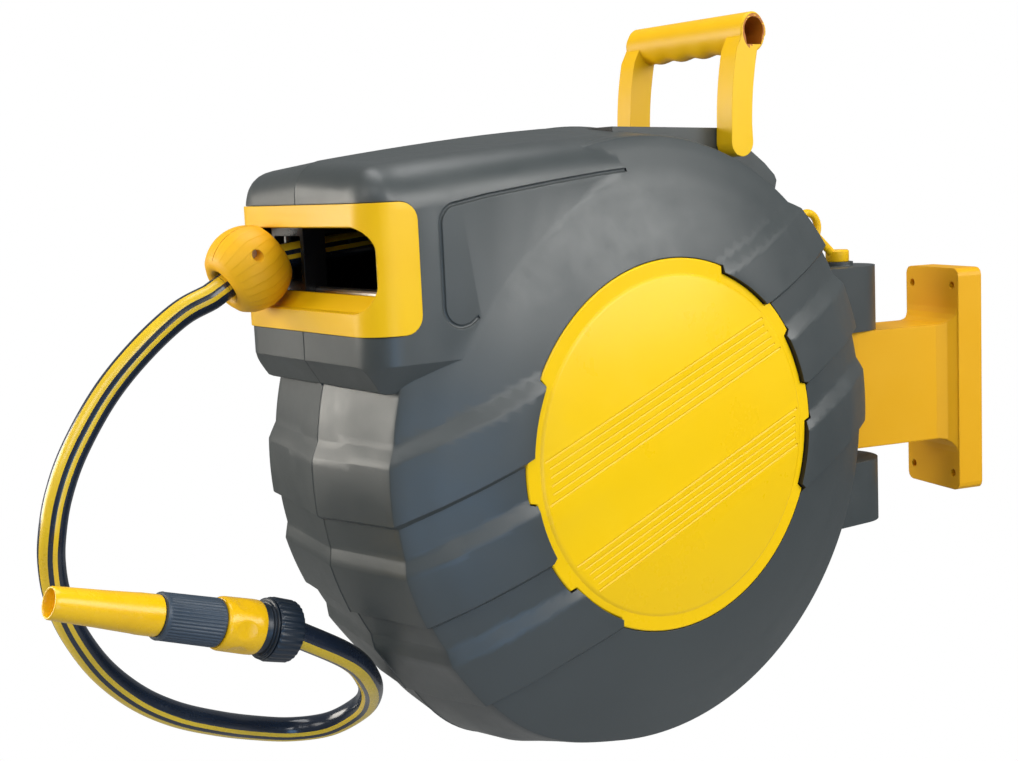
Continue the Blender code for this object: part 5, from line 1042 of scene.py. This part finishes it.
def add_disc(m, name, side, node, hole=0.0):
    """Disc cover: a flat rim, a raised middle plate and two sets of fine grooves."""
    start, end = SIDE_X + DISC_PROUD - DISC_THICKNESS, SIDE_X + DISC_PROUD
    rim = ((start, 0.0), (end - 0.0022, 0.0), (end - 0.0014, 0.0008))
    plate = ((end - 0.0012, 0.0075), (end - 0.0006, 0.0085), (end, 0.0100))
    rings = []
    for x, shrink in (*rim, *plate):
        ring = []
        for y, z in disc_outline(0.0):
            radius = math.hypot(y, z)
            on_rim = (x, shrink) in rim
            wanted = radius - shrink if on_rim else DISC_RADIUS - DISC_NOTCH * 0.5 - shrink
            ring.append((x, y * wanted / radius, z * wanted / radius))
        rings.append(ring)
    disc = lofted(name, rings)
    lines = 6
    for low, high in ((0.0170, 0.0430), (-0.0510, -0.0280)):
        for i in range(lines):
            height = low + (high - low) * i / (lines - 1)
            reach = math.sqrt(0.1085**2 - height**2)
            left, right, radius = (0.985, 0.985, 0.0010) if i in (0, lines - 1) else (0.95, 0.96, 0.0008)
            route = []
            for place_along in (-reach * left, reach * right):
                point = ALONG_BANDS * place_along + ACROSS_BANDS * height
                route.append(Vector((end + 0.0004, point.y, point.z)))
            cut(disc, bar_along(route, radius))
    if side < 0:
        disc.data.transform(Matrix.Scale(-1, 4, Vector((1, 0, 0))))
        disc.data.flip_normals()
        cut(disc, x_hole(-0.2, 0.0, hole))
    smooth(disc, 28)
    place(disc, "case", [node], "yellow_plastic", m["disc"])


def add_bezel(m):
    """Yellow frame round the outlet that wraps both front corners."""
    bezel = bezel_region("outlet_frame", 0.0)
    keep_inside(bezel, housing("outer", BEZEL_PROUD))
    cut(bezel, housing("inner", -BEZEL_SHELL))
    neck_end = FRONT_Y - BEZEL_PROUD + MOUTH_DEPTH
    neck = extruded("neck", mouth_outline(BEZEL_SHELL), "XZ", FRONT_Y + 0.0015, neck_end)
    keep_inside(neck, housing("outer"))
    fuse(bezel, neck)
    rings = []
    stations = [(-0.0022, 0.0, 0.0011), (-0.0009, 0.0, 0.0006), (0.0002, 0.0, 0.0)]
    stations += [(0.0036, 0.0, 0.0), (MOUTH_DEPTH, SILL_RISE, 0.0)]
    for depth, rise, flare in stations:
        ring = []
        for x, z in mouth_outline(flare):
            share = max(0.0, (MOUTH_HEIGHT - z) / MOUTH_HALF_HEIGHT)
            ring.append((x, FRONT_Y + depth, z + rise * share))
        rings.append(ring)
    cut(bezel, lofted("mouth", rings))
    smooth(bezel, 30)
    place(bezel, "case", ["bezel"], "yellow_plastic", m["yellow"])


# Handle and pin ring
def post_outline(grip_y, grip_z):
    """Side view of the handle's posts, which bow a little toward the wall."""
    y, z, steps, length = HANDLE_Y, HANDLE_Z, 8, 0.050
    front, back = [], []
    for i in range(steps + 1):
        t = i / steps
        bow = 0.0055 * t**2
        height = z + 0.012 + length * t
        back.append((y + POST_HALF_WIDTH + 0.0004 + bow + 0.001 * t, height))
        front.append((y - POST_HALF_WIDTH - 0.0004 + bow + 0.0005 * t, height))
    foot = arc((y, z), POST_FOOT_RADIUS, math.pi, 2 * math.pi, 16)
    head = arc((grip_y, grip_z), 0.0112, -0.2, math.pi + 0.2, 18)
    return foot + back + head + front[::-1]


def finger_grip(grip_y, grip_z):
    """Bar with finger waves on its underside and rounded ends."""
    steps, sides = 96, 40
    rings = []
    for i in range(steps + 1):
        x = -POST_OUTER + 2 * POST_OUTER * i / steps
        share = x / HANDLE_INNER_HALF
        wave = FINGER_WAVE * math.cos(4 * math.pi * share) if abs(share) < 0.875 else 0.0
        tuck = rounded_inset(EDGE_ROUND, POST_OUTER - abs(x))
        ring = []
        for j in range(sides):
            angle = 2 * math.pi * j / sides
            height = GRIP_HALF_HEIGHT - tuck
            if math.sin(angle) < 0:
                height -= wave * min(1.0, -math.sin(angle) * 1.5)
            y = grip_y + (GRIP_HALF_WIDTH - tuck) * math.cos(angle)
            ring.append((x, y, grip_z + height * math.sin(angle)))
        rings.append(ring)
    return lofted("grip", rings)


def add_handle(m):
    """Carrying handle: two posts and a hollow grip, open at both ends."""
    grip_y, grip_z = HANDLE_Y + GRIP_BACK, HANDLE_Z + GRIP_RISE
    outline = post_outline(grip_y, grip_z)
    handle = extruded("carry_handle", outline, "YZ", -POST_OUTER, -HANDLE_INNER_HALF)
    post = extruded("post", outline, "YZ", HANDLE_INNER_HALF, POST_OUTER)
    fuse(handle, post, finger_grip(grip_y, grip_z))
    arch = [(grip_y - 0.0068, grip_z - 0.0086), (grip_y + 0.0068, grip_z - 0.0086)]
    arch += arc((grip_y, grip_z + 0.0012), 0.0088, -0.5, math.pi + 0.5, 24)
    cut(handle, extruded("bore", arch, "YZ", -0.08, 0.08))
    smooth(handle, 35)
    # Faces inside the grip's bore take the darker orange copy of the yellow: painted shade
    for face in handle.data.polygons:
        if math.hypot((face.center.y - grip_y) / 0.0096, (face.center.z - grip_z) / 0.0101) < 1:
            face.material_index = 1
    place(handle, "handle", ["handle"], "yellow_plastic", m["yellow"], m["hollow"])


def pull_ring(centre, around=64, sides=16):
    """Ring of round wire that stands upright in the middle plane."""
    rings = []
    for i in range(around):
        angle = 2 * math.pi * i / around
        out = Vector((0.0, math.cos(angle), math.sin(angle)))
        ring = []
        for j in range(sides):
            turn = 2 * math.pi * j / sides
            offset = out * (0.0029 * math.cos(turn)) + Vector((RING_WIRE * math.sin(turn), 0.0, 0.0))
            ring.append(centre + out * RING_RADIUS + offset)
        rings.append(ring)
    return lofted("pull_ring", rings, True)


def add_pin_ring(m):
    """Pull ring, its stem and the hub on the pivot pin's head."""
    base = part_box("pin_ring")[0].z
    top = base + RING_HUB_HEIGHT
    inner = PIN_RADIUS + GAP
    centre = Vector((0.0, PIVOT_Y - RING_FORWARD, EARS[1][1] + RING_RISE))
    loop = pull_ring(centre)
    hub = [(0.0, top - 0.0030), (inner, top - 0.0030), (inner, base), (0.0086, base)]
    hub += [(RING_HUB_RADIUS, base + 0.0006), (RING_HUB_RADIUS, top - 0.0010), (0.0080, top), (0.0, top)]
    fuse(loop, revolved("hub", hub, 48, AT_PIVOT))
    stem_z = base + 0.0054
    heading = Vector((0.0, PIVOT_Y - centre.y, stem_z - centre.z)).normalized()
    start, end = centre + heading * RING_RADIUS, Vector((0.0, PIVOT_Y - 0.0045, stem_z))
    fuse(loop, bar_along([start, end], 0.0032, 20))
    smooth(loop, 40)
    place(loop, "pin", ["pin_ring"], "yellow_plastic", m["yellow"])


# Carried-over solids
def dress_nodes(m):
    """Give the solids that stay their finished materials."""
    finish = {"case_plastic": "case", "yellow_plastic": "yellow", "black_plastic": "black"}
    finish |= {"hose_rubber": "navy", "nozzle_plastic": "grip", "zinc_screws": "zinc"}
    finish |= {"steel": "steel", "brass": "brass"}
    slots = {entry["node"]: entry["material_slot"] for entry in frame["record"]["subparts"]}
    for name, item in NODES.items():
        item.data.materials.clear()
        item.data.materials.append(m["bracket" if name == "bracket" else finish[slots[name]]])


# Surroundings
def split_by_ray(tree, lighting, seen, output):
    """One shader for what the camera sees, another for the light on the part."""
    paths = tree.nodes.new("ShaderNodeLightPath")
    mix = tree.nodes.new("ShaderNodeMixShader")
    tree.links.new(paths.outputs["Is Camera Ray"], mix.inputs["Fac"])
    tree.links.new(lighting, mix.inputs[1])
    tree.links.new(seen, mix.inputs[2])
    tree.links.new(mix.outputs["Shader"], output.inputs["Surface"])


def add_floor():
    """Floor that the camera sees as white and that lights the part as pale grey."""
    n = Nodes("floor_white")
    n.even("Base Color", (0.42, 0.42, 0.42, 1.0))
    n.even("Roughness", 0.9)
    glow = n.add("ShaderNodeEmission", {"Color": (1.0,) * 4})
    split_by_ray(n.tree, n.shader.outputs["BSDF"], glow.outputs["Emission"], n.tree.nodes["Material Output"])
    bm = bmesh.new()
    bmesh.ops.create_grid(bm, x_segments=1, y_segments=1, size=6.0)
    floor = object_from_bmesh("floor", bm)
    floor.location = (0.0, 0.0, -0.95)
    floor.data.materials.append(n.material)


def add_world():
    """Faint cool light all round, which the camera sees as white."""
    world = bpy.data.worlds.new("studio")
    bpy.context.scene.world = world
    world.use_nodes = True
    tree = world.node_tree
    lighting, output = tree.nodes["Background"], tree.nodes["World Output"]
    seen = tree.nodes.new("ShaderNodeBackground")
    for node, colour, strength in ((lighting, (0.92, 0.96, 1.0, 1.0), 0.24), (seen, (1.0,) * 4, 1.0)):
        node.inputs["Color"].default_value = colour
        node.inputs["Strength"].default_value = strength
    split_by_ray(tree, lighting.outputs["Background"], seen.outputs["Background"], output)


def area_light(name, where, target, size, power, colour, height=None):
    """Area light at a place in the case's axes, turned toward a target there."""
    data = bpy.data.lights.new(name, "AREA")
    data.energy = power
    data.color = colour
    data.size = size
    if height:
        data.shape = "RECTANGLE"
        data.size_y = height
    light = new_object(name, data)
    light.location = DRUM + Vector(where)
    heading = DRUM + Vector(target) - light.location
    light.rotation_euler = heading.to_track_quat("-Z", "Y").to_euler()


def add_lights():
    middle, white = (0.0, 0.0, 0.0), (1.0, 1.0, 1.0)
    area_light("key", (1.70, 0.75, 0.80), middle, 1.9, 32.0, (1.0, 0.99, 0.96), 0.9)
    area_light("camera_side", (1.5, -1.2, 1.4), middle, 0.9, 9.0, white)
    area_light("front", (-1.15, -1.50, 0.32), (0.0, -0.1, 0.02), 1.0, 23.0, (1.0, 0.95, 0.86), 0.8)
    area_light("front_right", (0.45, -1.9, 1.0), (0.0, -0.1, 0.0), 0.8, 8.0, (1.0, 0.96, 0.9))
    area_light("sky", (-0.1, 0.1, 2.2), (0.0, 0.0, 0.1), 1.5, 30.0, white)
    area_light("blue_bounce", (1.8, -0.35, -0.35), (0.05, -0.10, 0.0), 0.8, 6.0, (0.30, 0.58, 1.0))


bpy.context.scene.view_settings.view_transform = "Standard"
add_camera()
MATERIALS = make_materials()
dress_nodes(MATERIALS)
nozzle = [add_part(MATERIALS) for add_part in (add_nut, add_connector, add_collar, add_grip, add_barrel)]
add_free_hose(MATERIALS)
add_hose_lead(MATERIALS)
add_ball(MATERIALS)
add_case(MATERIALS)
add_disc(MATERIALS, "disc_plate", 1, "disc_cover")
add_disc(MATERIALS, "inlet_plate", -1, "inlet_cover", 0.021)
add_bezel(MATERIALS)
add_handle(MATERIALS)
add_pin_ring(MATERIALS)
add_world()
add_floor()
add_lights()
